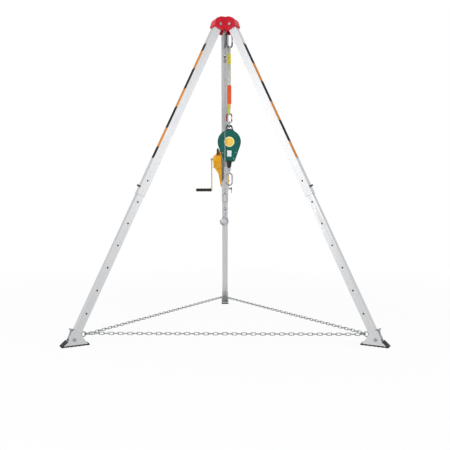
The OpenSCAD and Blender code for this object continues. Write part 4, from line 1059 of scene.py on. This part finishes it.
@dataclass
class Chains:
    """Three chains of welded links between the legs' eyes."""

    wire: float = 0.005
    inside_w: float = 0.010
    pitch: float = 0.0286
    link_gap: float = 0.0003
    eye_gap: float = 0.0014
    eye_middle: float = 0.0435
    eye_down: float = 2.22331
    ring_r: float = 0.014
    ring_wire_r: float = 0.0035
    end_share: float = 0.52
    lead: float = 0.09

    def eye_point(self, leg: Leg, rise: float) -> Vector:
        """The innermost point of a leg's eye ring at a height above the ring's middle."""
        reach = math.sqrt(self.ring_r ** 2 - rise ** 2)
        return leg.point(-self.eye_middle, 0.0, self.eye_down) - leg.radial * reach + Vector((0, 0, rise))

    def build_link(self, inside_len: float) -> Piece:
        """One oval link along X, flat in XY.

        Args:
            inside_len: The link's length inside.

        Returns:
            The link, centred on the origin.
        """
        link = Bench.start("link", bpy.ops.mesh.primitive_torus_add, major_segments=14, minor_segments=6,
                           major_radius=(self.inside_w + self.wire) / 2, minor_radius=self.wire / 2)
        reach = (inside_len - self.inside_w) / 2
        for side in (-1.0, 1.0):
            Bench.pick(link, "VERT", lambda item: item.co.x * side > 0)
            bpy.ops.transform.translate(value=(side * reach, 0, 0))
        return Bench.finish_mesh(link, 75.0)

    def build(self, name: str, start: Leg, end: Leg) -> None:
        """One chain in four pieces.

        Args:
            name: The CAD node's name.
            start: The leg of its first link.
            end: The leg of its last link.
        """
        stack = (self.wire + self.eye_gap) / 2
        first, last = self.eye_point(start, stack), self.eye_point(end, -stack)
        lean = math.asin(stack / self.ring_r)
        seat = self.ring_wire_r + self.wire / 2 + self.link_gap
        seat *= math.sqrt(1 - (math.sin(lean) / 2) ** 2) / math.cos(lean)
        way = last - first
        total = way.length + 2 * seat
        links = 2 * round((total / self.pitch - 1) / 2) + 1
        inside_len = (total - self.wire + (links - 1) * self.link_gap) / links
        turn = Matrix.Rotation(math.atan2(way.y, way.x), 4, "Z")
        turn = turn @ Matrix.Rotation(-math.asin(way.z / way.length), 4, "Y")
        base = Matrix.Translation(first) @ turn
        link = self.build_link(inside_len)
        middle = links // 2
        near = round(middle * self.end_share)
        lead = self.lead / way.length
        marks = [tuple(first + way * share)
                 for share in (lead, near / links, 0.5, 1 - near / links, 1 - lead)]
        leg_a, leg_b = f"leg_{start.word}", f"leg_{end.word}"
        quarters = (("a", range(near), f"shin_{start.word}", leg_a, marks[0], marks[1]),
                    ("b", range(near, middle + 1), leg_a, "head", marks[1], marks[2]),
                    ("c", range(middle + 1, links - near), leg_b, "head", marks[3], marks[2]),
                    ("d", range(links - near, links), f"shin_{end.word}", leg_b, marks[4], marks[3]))
        for letter, group, body_a, body_b, begin, stop in quarters:
            places = []
            for i in group:
                centre = i * (inside_len - self.link_gap) - seat + (inside_len + self.wire) / 2
                upright = Matrix.Rotation(math.pi / 2 * (i % 2), 4, "X")
                places.append(base @ Matrix.Translation((centre, 0, 0)) @ upright)
            piece = Bench.repeat(link, places, f"{name}_{letter}")
            hand_over(piece, "zinc_steel", None, [name] if letter == "a" else ())
            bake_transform(piece)
        bpy.data.objects.remove(link)


@dataclass
class WarningTape:
    """A strip of banded tape on the outer face of each upper tube."""

    top: float = 0.167
    length: float = 0.883
    width: float = 0.046
    thick: float = 0.0004
    rim: float = 0.99
    rim_share: float = 0.45

    def build(self, leg: Leg) -> None:
        """Lay the strip on one leg, pressed thin along its rim.

        Args:
            leg: The leg that carries it.
        """
        strip = Bench.start(f"warning_tape_{leg.word}", bpy.ops.mesh.primitive_grid_add, x_subdivisions=4,
                            y_subdivisions=60, size=1.0)
        Bench.place(strip, Matrix.Diagonal((self.width, self.length, 1.0, 1.0)))
        Bench.pick(strip, "FACE", Bench.every)
        Bench.draw_up(self.thick)
        bpy.ops.object.mode_set(mode="OBJECT")
        half_w, half_l = self.width / 2, self.length / 2
        for vertex in strip.data.vertices:
            edge = max(abs(vertex.co.x) / half_w, 1.0 - (half_l - abs(vertex.co.y)) / half_w)
            if vertex.co.z > self.thick / 2 and edge > self.rim:
                vertex.co.z *= self.rim_share
        layer = strip.data.uv_layers[0]
        for loop in strip.data.loops:
            co = strip.data.vertices[loop.vertex_index].co
            layer.data[loop.index].uv = (co.x + half_w, co.y + half_l)
        Bench.finish_mesh(strip, 50.0)
        Bench.place(strip, leg.matrix(TUBE_OUT, self.top + half_l))
        hand_over(strip, f"tape_{leg.word}", f"leg_{leg.word}")


@dataclass
class Lanyard:
    """The webbing line between the two carabiners, with its sleeve and its energy absorber."""

    top_wire_z: float = 1.94883
    top_loop_r: float = 0.00907
    top_turn: float = math.radians(30.0)
    sleeve_top: float = 1.90683
    sleeve_foot: float = 1.82983
    absorber_top: float = 1.68783
    absorber_foot: float = 1.55683
    low_wire_z: float = 1.49083
    low_loop_r: float = 0.00868
    strap_w: float = 0.022
    loop_w: float = 0.014
    top_full: float = 0.018
    layer: float = 0.0034
    ply_gap: float = 0.00005
    sleeve_hides: float = 0.006
    absorber_hides: float = 0.004
    top_taper: float = 0.048
    low_taper: float = 0.066
    strap_step: float = 0.006
    sleeve_half: tuple[float, float] = (0.0118, 0.0062)
    absorber_half: tuple[float, float] = (0.0143, 0.0098)
    seam_x: float = 0.0128
    seam_y: float = 0.0014
    seam_facing: float = 0.6
    seam_rise: float = 0.0005
    sewn: tuple[tuple[float, float], ...] = ((1.800, 1.826), (1.6925, 1.716), (1.5310, 1.5535))
    sewn_x: float = 0.0078
    stitch_r: float = 0.0005
    stitch_reach: float = 0.0011

    def strap(self, name: str, path: Sequence[Vector], turn: float, widths: Sequence[float]) -> Piece:
        """A flat strap along a path that lies in the plane square to its width.

        Args:
            name: The piece's name.
            path: Its middle line.
            turn: The level angle of its width.
            widths: Its width at each point.

        Returns:
            The strap with rounded edges.
        """
        rings, along = [], []
        half_t = self.layer / 2
        wide = Vector((math.cos(turn), math.sin(turn), 0.0))
        for (point, way, gone), width in zip(Bench.steps(path), widths):
            face = way.cross(wide).normalized()
            half = width / 2
            upper = [(-half + half_t * 0.5, half_t * 0.85), (-half * 0.5, half_t), (0.0, half_t),
                     (half * 0.5, half_t), (half - half_t * 0.5, half_t * 0.85)]
            lower = [(x, -y) for x, y in reversed(upper)]
            section = [(-half, 0.0), *upper, (half, 0.0), *lower]
            rings.append([point + wide * x + face * y for x, y in section])
            along.append(gone)
        there = (0.0, 0.1, 0.5, 1.0, 1.5, 1.9, 2.0)
        across = [share * self.strap_w / 2 for share in there + there[-2::-1]]
        return Bench.sweep(name, rings, along, across)

    @staticmethod
    def loop_path(wire_z: float, radius: float, turn: float, end_z: float, gap: float) -> list[Vector]:
        """The middle line of a loop: up one side, over the wire and down the other.

        Args:
            wire_z: The height of the wire that carries the loop.
            radius: The radius of the loop's middle line.
            turn: The level angle of the wire.
            end_z: The height where the two sides lie on each other.
            gap: Half the distance between their middle lines there.

        Returns:
            The points of the line.
        """
        sign = 1.0 if end_z < wire_z else -1.0
        side = Vector((-math.sin(turn), math.cos(turn), 0.0))
        middle = Vector((LINE_X, LINE_Y, wire_z))
        reach = abs(wire_z - end_z)
        rise, bend = 10, 24
        flat: list[tuple[float, float]] = []
        for i in range(rise):
            share = i / rise
            ease = share * share * (3 - 2 * share)
            flat.append((gap + (radius - gap) * ease, reach * (1 - share)))
        for i in range(bend + 1):
            angle = math.pi * i / bend
            flat.append((radius * math.cos(angle), -radius * math.sin(angle)))
        flat += [(-x, y) for x, y in reversed(flat[:rise])]
        return [middle + side * x - Vector((0, 0, sign * y)) for x, y in flat]

    def build_stitch(self) -> Piece:
        """One short stitch of thread along Z."""
        stitch = Bench.start("stitch", bpy.ops.mesh.primitive_uv_sphere_add, segments=8, ring_count=5,
                             radius=self.stitch_r)
        for way in (1.0, -1.0):
            Bench.pick(stitch, "VERT", lambda item: item.co.z * way > self.stitch_r / 5)
            bpy.ops.transform.translate(value=(0, 0, way * self.stitch_reach))
        return Bench.finish_mesh(stitch, 80.0)

    def taper(self, path: Sequence[Vector], wire_z: float, reach: float, full: float) -> list[float]:
        """The widths along a loop, narrow on the wire and full at a reach above it, or below if negative."""
        shares = [min(max((point.z - wire_z) / reach, 0.0), 1.0) for point in path]
        return [self.loop_w + (full - self.loop_w) * share for share in shares]

    def build_straps(self) -> None:
        """The upper loop, the two-ply strap and the lower loop."""
        gap = self.layer / 2 + self.ply_gap
        end_z = self.sleeve_top - self.sleeve_hides
        path = self.loop_path(self.top_wire_z, self.top_loop_r, self.top_turn, end_z, gap)
        widths = self.taper(path, self.top_wire_z, -self.top_taper, self.top_full)
        loop = self.strap("lanyard_top_loop", path, self.top_turn, widths)
        hand_over(loop, "olive_webbing", "arrester", ["lanyard_webbing"])
        plies = []
        for side in (-1.0, 1.0):
            start = Vector((LINE_X, LINE_Y + side * gap, self.sleeve_foot + self.sleeve_hides))
            end = Vector((LINE_X, LINE_Y + side * gap, self.absorber_top - self.absorber_hides))
            path = WireRope.straight(start, end, self.strap_step)
            plies.append(self.strap("ply", path, 0.0, [self.strap_w] * len(path)))
        hand_over(Bench.join(plies, "lanyard_strap"), "olive_webbing", "arrester")
        end_z = self.absorber_foot + self.absorber_hides
        path = self.loop_path(self.low_wire_z, self.low_loop_r, 0.0, end_z, gap)
        widths = self.taper(path, self.low_wire_z, self.low_taper, self.strap_w)
        low = self.strap("lanyard_low_loop", path, 0.0, widths)
        hand_over(low, "lime_webbing", "arrester")

    @staticmethod
    def pouch(name: str, half: tuple[float, float, float], crown: float, pinch: float) -> Piece:
        """A stuffed pouch, drawn in at its ends.

        Args:
            name: The piece's name.
            half: Its half sizes in X, Y and Z.
            crown: The share of its thickness that its edges keep.
            pinch: The share of its thickness that its ends keep.

        Returns:
            The pouch round the origin.
        """
        piece = Bench.start(name, bpy.ops.mesh.primitive_cube_add, size=2.0)
        Bench.pick(piece, "EDGE", Bench.every)
        bpy.ops.mesh.subdivide(number_cuts=11)
        bpy.ops.object.mode_set(mode="OBJECT")
        for vertex in piece.data.vertices:
            x, y, z = vertex.co
            ends = 1.0 - (1.0 - pinch) * abs(z) ** 5
            edges = 1.0 - (1.0 - crown) * abs(x) ** 3
            crumple = 1.0 + 0.035 * math.sin(9.0 * z + 2.0 * x) * (1.0 - x * x)
            waist = 1.0 - 0.05 * abs(z) ** 4 + 0.012 * math.sin(7.0 * z)
            corner = 1.0 - 0.03 * abs(x) ** 6
            vertex.co = (x * half[0] * waist, y * half[1] * ends * edges * crumple, z * half[2] * corner)
        Bench.modify(piece, "SUBSURF", levels=1, render_levels=1)
        return Bench.finish_mesh(piece, 70.0)

    def build_sleeve(self) -> None:
        """The yellow sleeve over the upper loop's sewing."""
        half_z = (self.sleeve_top - self.sleeve_foot) / 2
        sleeve = self.pouch("lanyard_sleeve", (*self.sleeve_half, half_z), 0.5, 0.72)
        Bench.place(sleeve, Matrix.Translation((LINE_X, LINE_Y, self.sleeve_foot + half_z)))
        hand_over(sleeve, "yellow_sleeve", "arrester")

    def build_absorber(self) -> None:
        """The orange pouch with its sewn ends and side seams."""
        half_z = (self.absorber_top - self.absorber_foot) / 2
        pouch = self.pouch("absorber_pouch", (*self.absorber_half, half_z), 0.42, 0.5)
        Bench.pick(pouch, "FACE", lambda item: abs(item.center.x) > self.seam_x
                   and abs(item.normal.x) > self.seam_facing and abs(item.center.y) < self.seam_y)
        bpy.ops.mesh.extrude_region_shrink_fatten(TRANSFORM_OT_shrink_fatten={"value": self.seam_rise})
        bpy.ops.object.mode_set(mode="OBJECT")
        Bench.finish_mesh(pouch, 60.0)
        Bench.place(pouch, Matrix.Translation((LINE_X, LINE_Y, self.absorber_foot + half_z)))
        hand_over(pouch, "orange_fabric", "arrester", ["energy_absorber"])

    def build_stitches(self) -> None:
        """Box stitching below the sleeve, above the absorber and on the lower loop."""
        uprights, levels = 6, 5
        wide = 2 * self.sewn_x
        places = []
        for low, high in self.sewn:
            tall = high - low
            spots = []
            for i in range(uprights + 1):
                z = low + tall * i / uprights
                spots += [(-self.sewn_x, z, math.pi / 2), (self.sewn_x, z, math.pi / 2)]
            lean = math.atan2(tall, wide)
            for i in range(1, levels):
                x, z = -self.sewn_x + wide * i / levels, low + tall * i / levels
                spots += [(x, low, 0.0), (x, high, 0.0), (x, z, lean)]
            for side in (-1.0, 1.0):
                face_y = LINE_Y + side * (self.layer + 2 * self.ply_gap)
                for x, z, tilt in spots:
                    turn = Matrix.Rotation(math.pi / 2 - tilt, 4, "Y")
                    places.append(Matrix.Translation((LINE_X + x, face_y, z)) @ turn)
        stitch = self.build_stitch()
        hand_over(Bench.repeat(stitch, places, "lanyard_stitches"), "thread", "arrester")
        bpy.data.objects.remove(stitch)


@dataclass
class Grip:
    """The winch crank's hand grip, with finger swells and end beads."""

    radius: float = 0.012
    ridges: int = 4
    swell: float = 0.0009
    steps: int = 40
    foot: float = 0.0012
    bead: float = 0.0068

    def build(self) -> None:
        """Turn the grip and set it where the CAD grip is."""
        low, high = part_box("crank_grip")
        radius, length = self.radius, high.x - low.x
        profile = [(radius - 0.0015, 0.0), (radius, self.foot)]
        for i in range(1, self.steps):
            share = i / self.steps
            wave = math.sin(math.pi * self.ridges * share) ** 2
            rise = self.foot + (length - self.foot - self.bead) * share
            profile.append((radius - self.swell * (1.0 - wave), rise))
        bead = ((0.0, 0.0062), (0.0016, 0.0055), (0.002, 0.003), (0.0016, 0.0008), (-0.001, 0.0))
        profile += [(radius + wider, length - short) for wider, short in bead]
        grip = Bench.lathe("winch_grip", profile, 40)
        turn = Matrix.Rotation(math.pi / 2, 4, "Y")
        middle = Vector((low.x, (low.y + high.y) / 2, (low.z + high.z) / 2))
        Bench.place(grip, Matrix.Translation(middle) @ turn)
        hand_over(grip, "black_rubber", "grip", ["crank_grip"])


@dataclass
class WinchTrim:
    """Small fixed pieces of the winch: upper gusset, a dark plate of painted shade on the tube, knob and
    cover screws.
    """

    down: float = 0.949
    drum_in: float = 0.080
    crank_way: float = math.radians(139.7)
    crank_far: float = 0.052
    cover_r: float = 0.048
    cover_side: float = 0.088
    cover_small_r: float = 0.0305
    knob_side: float = 0.056
    knob_sunk: float = 0.0009
    screw_in: float = 0.007
    screw_swing: float = 1.1
    screw_sunk: float = 0.0002

    def build_plates(self) -> None:
        """The gusset above the gear cover, and a dark plate on the tube behind the drum that paints the
        shade there.
        """
        gusset = [(0.0312, 0.030), (0.080, 0.030), (0.080, 0.036), (0.051, 0.075), (0.044, 0.081),
                  (0.0312, 0.081)]
        # The second outline is a dark smoked-steel plate that is painted shade: a strip on the tube where
        # the bracket and drum shade it.
        back = [(0.0085, -0.021), (0.0260, -0.021), (0.0260, -0.184), (0.0190, -0.184), (0.0085, -0.160)]
        for name, outline, out, thick, finish, slot in (
                ("winch_top_gusset", gusset, -0.040, 0.004, "winch_yellow", "winch_yellow"),
                ("winch_back_plate", back, -0.0272, 0.0013, "smoked_steel", "dark_metal")):
            plate = Bench.plate(name, [(-side, -rise) for side, rise in outline], thick, thick * 0.2)
            Bench.place(plate, Leg.REAR.matrix(out, self.down))
            hand_over(plate, finish, "leg_rear")

    def build_knob(self) -> None:
        """The dark knob that stands on the gear cover."""
        profile = [(0.0085, 0.0), (0.0085, 0.005), (0.0078, 0.006), (0.0050, 0.0062), (0.0050, 0.016),
                   (0.0070, 0.0172), (0.0082, 0.022), (0.0088, 0.032), (0.0084, 0.044), (0.0068, 0.053),
                   (0.0035, 0.0575)]
        knob = Bench.lathe("winch_knob", profile, 32)
        foot = Leg.REAR.point(-self.drum_in, self.knob_side, self.down)
        Bench.place(knob, Matrix.Translation(foot + Vector((0, 0, self.cover_r - self.knob_sunk))))
        hand_over(knob, "black_plastic", "leg_rear")

    def build_screws(self) -> None:
        """Six screws around the gear cover's outer face."""
        profile = [(0.0045, 0.0), (0.0045, 0.0012), (0.0037, 0.0024), (0.0024, 0.0028), (0.0021, 0.0014)]
        screw = Bench.lathe("screw", profile, 24)
        turn = Matrix.Rotation(-math.pi / 2, 4, "Y")
        places = []
        for far, radius, middle in ((0.0, self.cover_r, self.crank_way + math.pi),
                                    (self.crank_far, self.cover_small_r, self.crank_way)):
            reach = radius - self.screw_in
            for swing in (-self.screw_swing, 0.0, self.screw_swing):
                out = math.cos(self.crank_way) * far + math.cos(middle + swing) * reach - self.drum_in
                rise = math.sin(self.crank_way) * far + math.sin(middle + swing) * reach
                at = Leg.REAR.point(out, self.cover_side - self.screw_sunk, self.down - rise)
                places.append(Matrix.Translation(at) @ turn)
        screws = Bench.repeat(screw, places, "winch_cover_screws")
        hand_over(screws, "zinc_steel", "leg_rear")
        bpy.data.objects.remove(screw)


@dataclass
class StopBolt:
    """The dark capped bolt on each upper tube's outer face that stops the lower tube."""

    down: float = 1.255
    washer_r: float = 0.0082
    shank_r: float = 0.0046
    cap_r: float = 0.0062
    height: float = 0.018

    def build(self, leg: Leg) -> None:
        """Turn the bolt and seat it on one leg.

        Args:
            leg: The leg that carries it.
        """
        top = self.height
        profile = [(self.washer_r - 0.0005, 0.0), (self.washer_r, 0.0005), (self.washer_r, 0.0017),
                   (self.washer_r - 0.0005, 0.0022), (self.shank_r, 0.0023), (self.shank_r, 0.0075),
                   (self.cap_r - 0.0012, 0.0076), (self.cap_r, 0.0088), (self.cap_r, top - 0.0024),
                   (self.cap_r - 0.0008, top - 0.0008), (self.cap_r - 0.0026, top)]
        bolt = Bench.lathe(f"stop_bolt_{leg.word}", profile, 36)
        Bench.place(bolt, leg.matrix(TUBE_OUT, self.down))
        hand_over(bolt, "dark_metal", f"leg_{leg.word}")


@dataclass
class BlockTrim:
    """Bare labels on the fall-arrest block's front."""

    face_y: float = LINE_Y - 0.038
    disc_z: float = 1.2890
    disc_r: float = 0.035
    field_r: float = 0.0285
    plate_z: float = 1.2080
    plate_w: float = 0.030
    plate_h: float = 0.042
    plate_corner: float = 0.003
    plate_rim: float = 0.0012
    plate_sunk: float = 0.0002
    thick: float = 0.0006

    def seat(self, piece: Piece, height: float) -> None:
        """Turn a label from the XY plane to the block's front, at a height."""
        at = Matrix.Translation((LINE_X, self.face_y, height))
        Bench.place(piece, at @ Matrix.Rotation(math.pi / 2, 4, "X"))

    def build_disc(self) -> None:
        """The round bare label: a pale rim, and a raised field inside it."""
        edge = self.thick * 0.4
        rounds = (("block_label_rim", self.disc_r, self.thick, "label_rim"),
                  ("block_round_label", self.field_r, self.thick * 2, "label_yellow"))
        for name, radius, top, finish in rounds:
            profile = [(radius, 0.0), (radius, top - edge), (radius - edge, top), (radius * 0.5, top)]
            disc = Bench.lathe(name, profile, 72)
            self.seat(disc, self.disc_z)
            hand_over(disc, finish, "arrester")

    def build_plate(self) -> None:
        """The small bare label below it."""
        plate = Bench.start("block_small_label", bpy.ops.mesh.primitive_plane_add, size=1.0)
        Bench.place(plate, Matrix.Diagonal((self.plate_w, self.plate_h, 1.0, 1.0)))
        Bench.pick(plate, "VERT", Bench.every)
        bpy.ops.mesh.bevel(offset=self.plate_corner, segments=4, affect="VERTICES")
        bpy.ops.mesh.select_all(action="SELECT")
        Bench.draw_up(self.thick)
        bpy.ops.mesh.inset(thickness=self.plate_rim, depth=-self.plate_sunk)
        bpy.ops.object.mode_set(mode="OBJECT")
        Bench.finish_mesh(plate, 40.0)
        self.seat(plate, self.plate_z)
        hand_over(plate, "label_white", "arrester")


@dataclass
class CadNodes:
    """The CAD nodes that keep their shape: their finish and their softened edges."""

    edge: float = 0.0008
    sharp: float = math.radians(40.0)
    level: float = math.radians(0.3)
    merge: float = 0.00002
    smoked: tuple[str, ...] = ("arrest_carabiner", "pulley_link")
    plain: tuple[str, ...] = ("drum_gear", "pinion_shaft", "ratchet_wheel", "pawl", "block_spring",
                              "block_drum")

    def finish_of(self, node: str, slot: str) -> str:
        """The finish of a node: tubes and feet follow their leg's lines, all others their slot."""
        if slot == "leg_aluminium":
            return f"tube_{node.split('_')[-1]}"
        return "smoked_steel" if node in self.smoked else slot

    def dress(self) -> None:
        """Dress every CAD node, and soften the edges of those that show."""
        slots = {part["node"]: part["material_slot"] for part in frame["record"]["subparts"]}
        for name, node in frame["nodes"].items():
            PALETTE.dress(node, self.finish_of(name, slots[name]))
            if node.hide_render or name in self.plain:
                continue
            Bench.modifier(node, "WELD", merge_threshold=self.merge)
            Bench.modifier(node, "DECIMATE", decimate_type="DISSOLVE", angle_limit=self.level)
            Bench.modifier(node, "BEVEL", limit_method="ANGLE", angle_limit=self.sharp, width=self.edge,
                           segments=2, use_clamp_overlap=True, harden_normals=True)
            LOG.info("node %s dressed", name)


def main() -> None:
    """Build the camera, the cords and every piece in order."""
    logging.basicConfig(level=logging.INFO, format="%(message)s")
    studio = Studio()
    studio.build_camera()
    rope = WireRope()
    rope.build_fall()
    rope.build_run()
    rope.build_winding()
    rope.build_block_start()
    chains = Chains()
    chains.build("chain_front", Leg.LEFT, Leg.RIGHT)
    chains.build("chain_right", Leg.RIGHT, Leg.REAR)
    chains.build("chain_left", Leg.REAR, Leg.LEFT)
    tape, stop = WarningTape(), StopBolt()
    for leg in Leg:
        tape.build(leg)
        stop.build(leg)
    lanyard = Lanyard()
    lanyard.build_straps()
    lanyard.build_sleeve()
    lanyard.build_absorber()
    lanyard.build_stitches()
    Grip().build()
    winch = WinchTrim()
    winch.build_plates()
    winch.build_knob()
    winch.build_screws()
    trim = BlockTrim()
    trim.build_disc()
    trim.build_plate()
    CadNodes().dress()
    studio.build_lights()
    studio.build_sky()
    studio.build_floor()


if __name__ == "__main__":
    main()
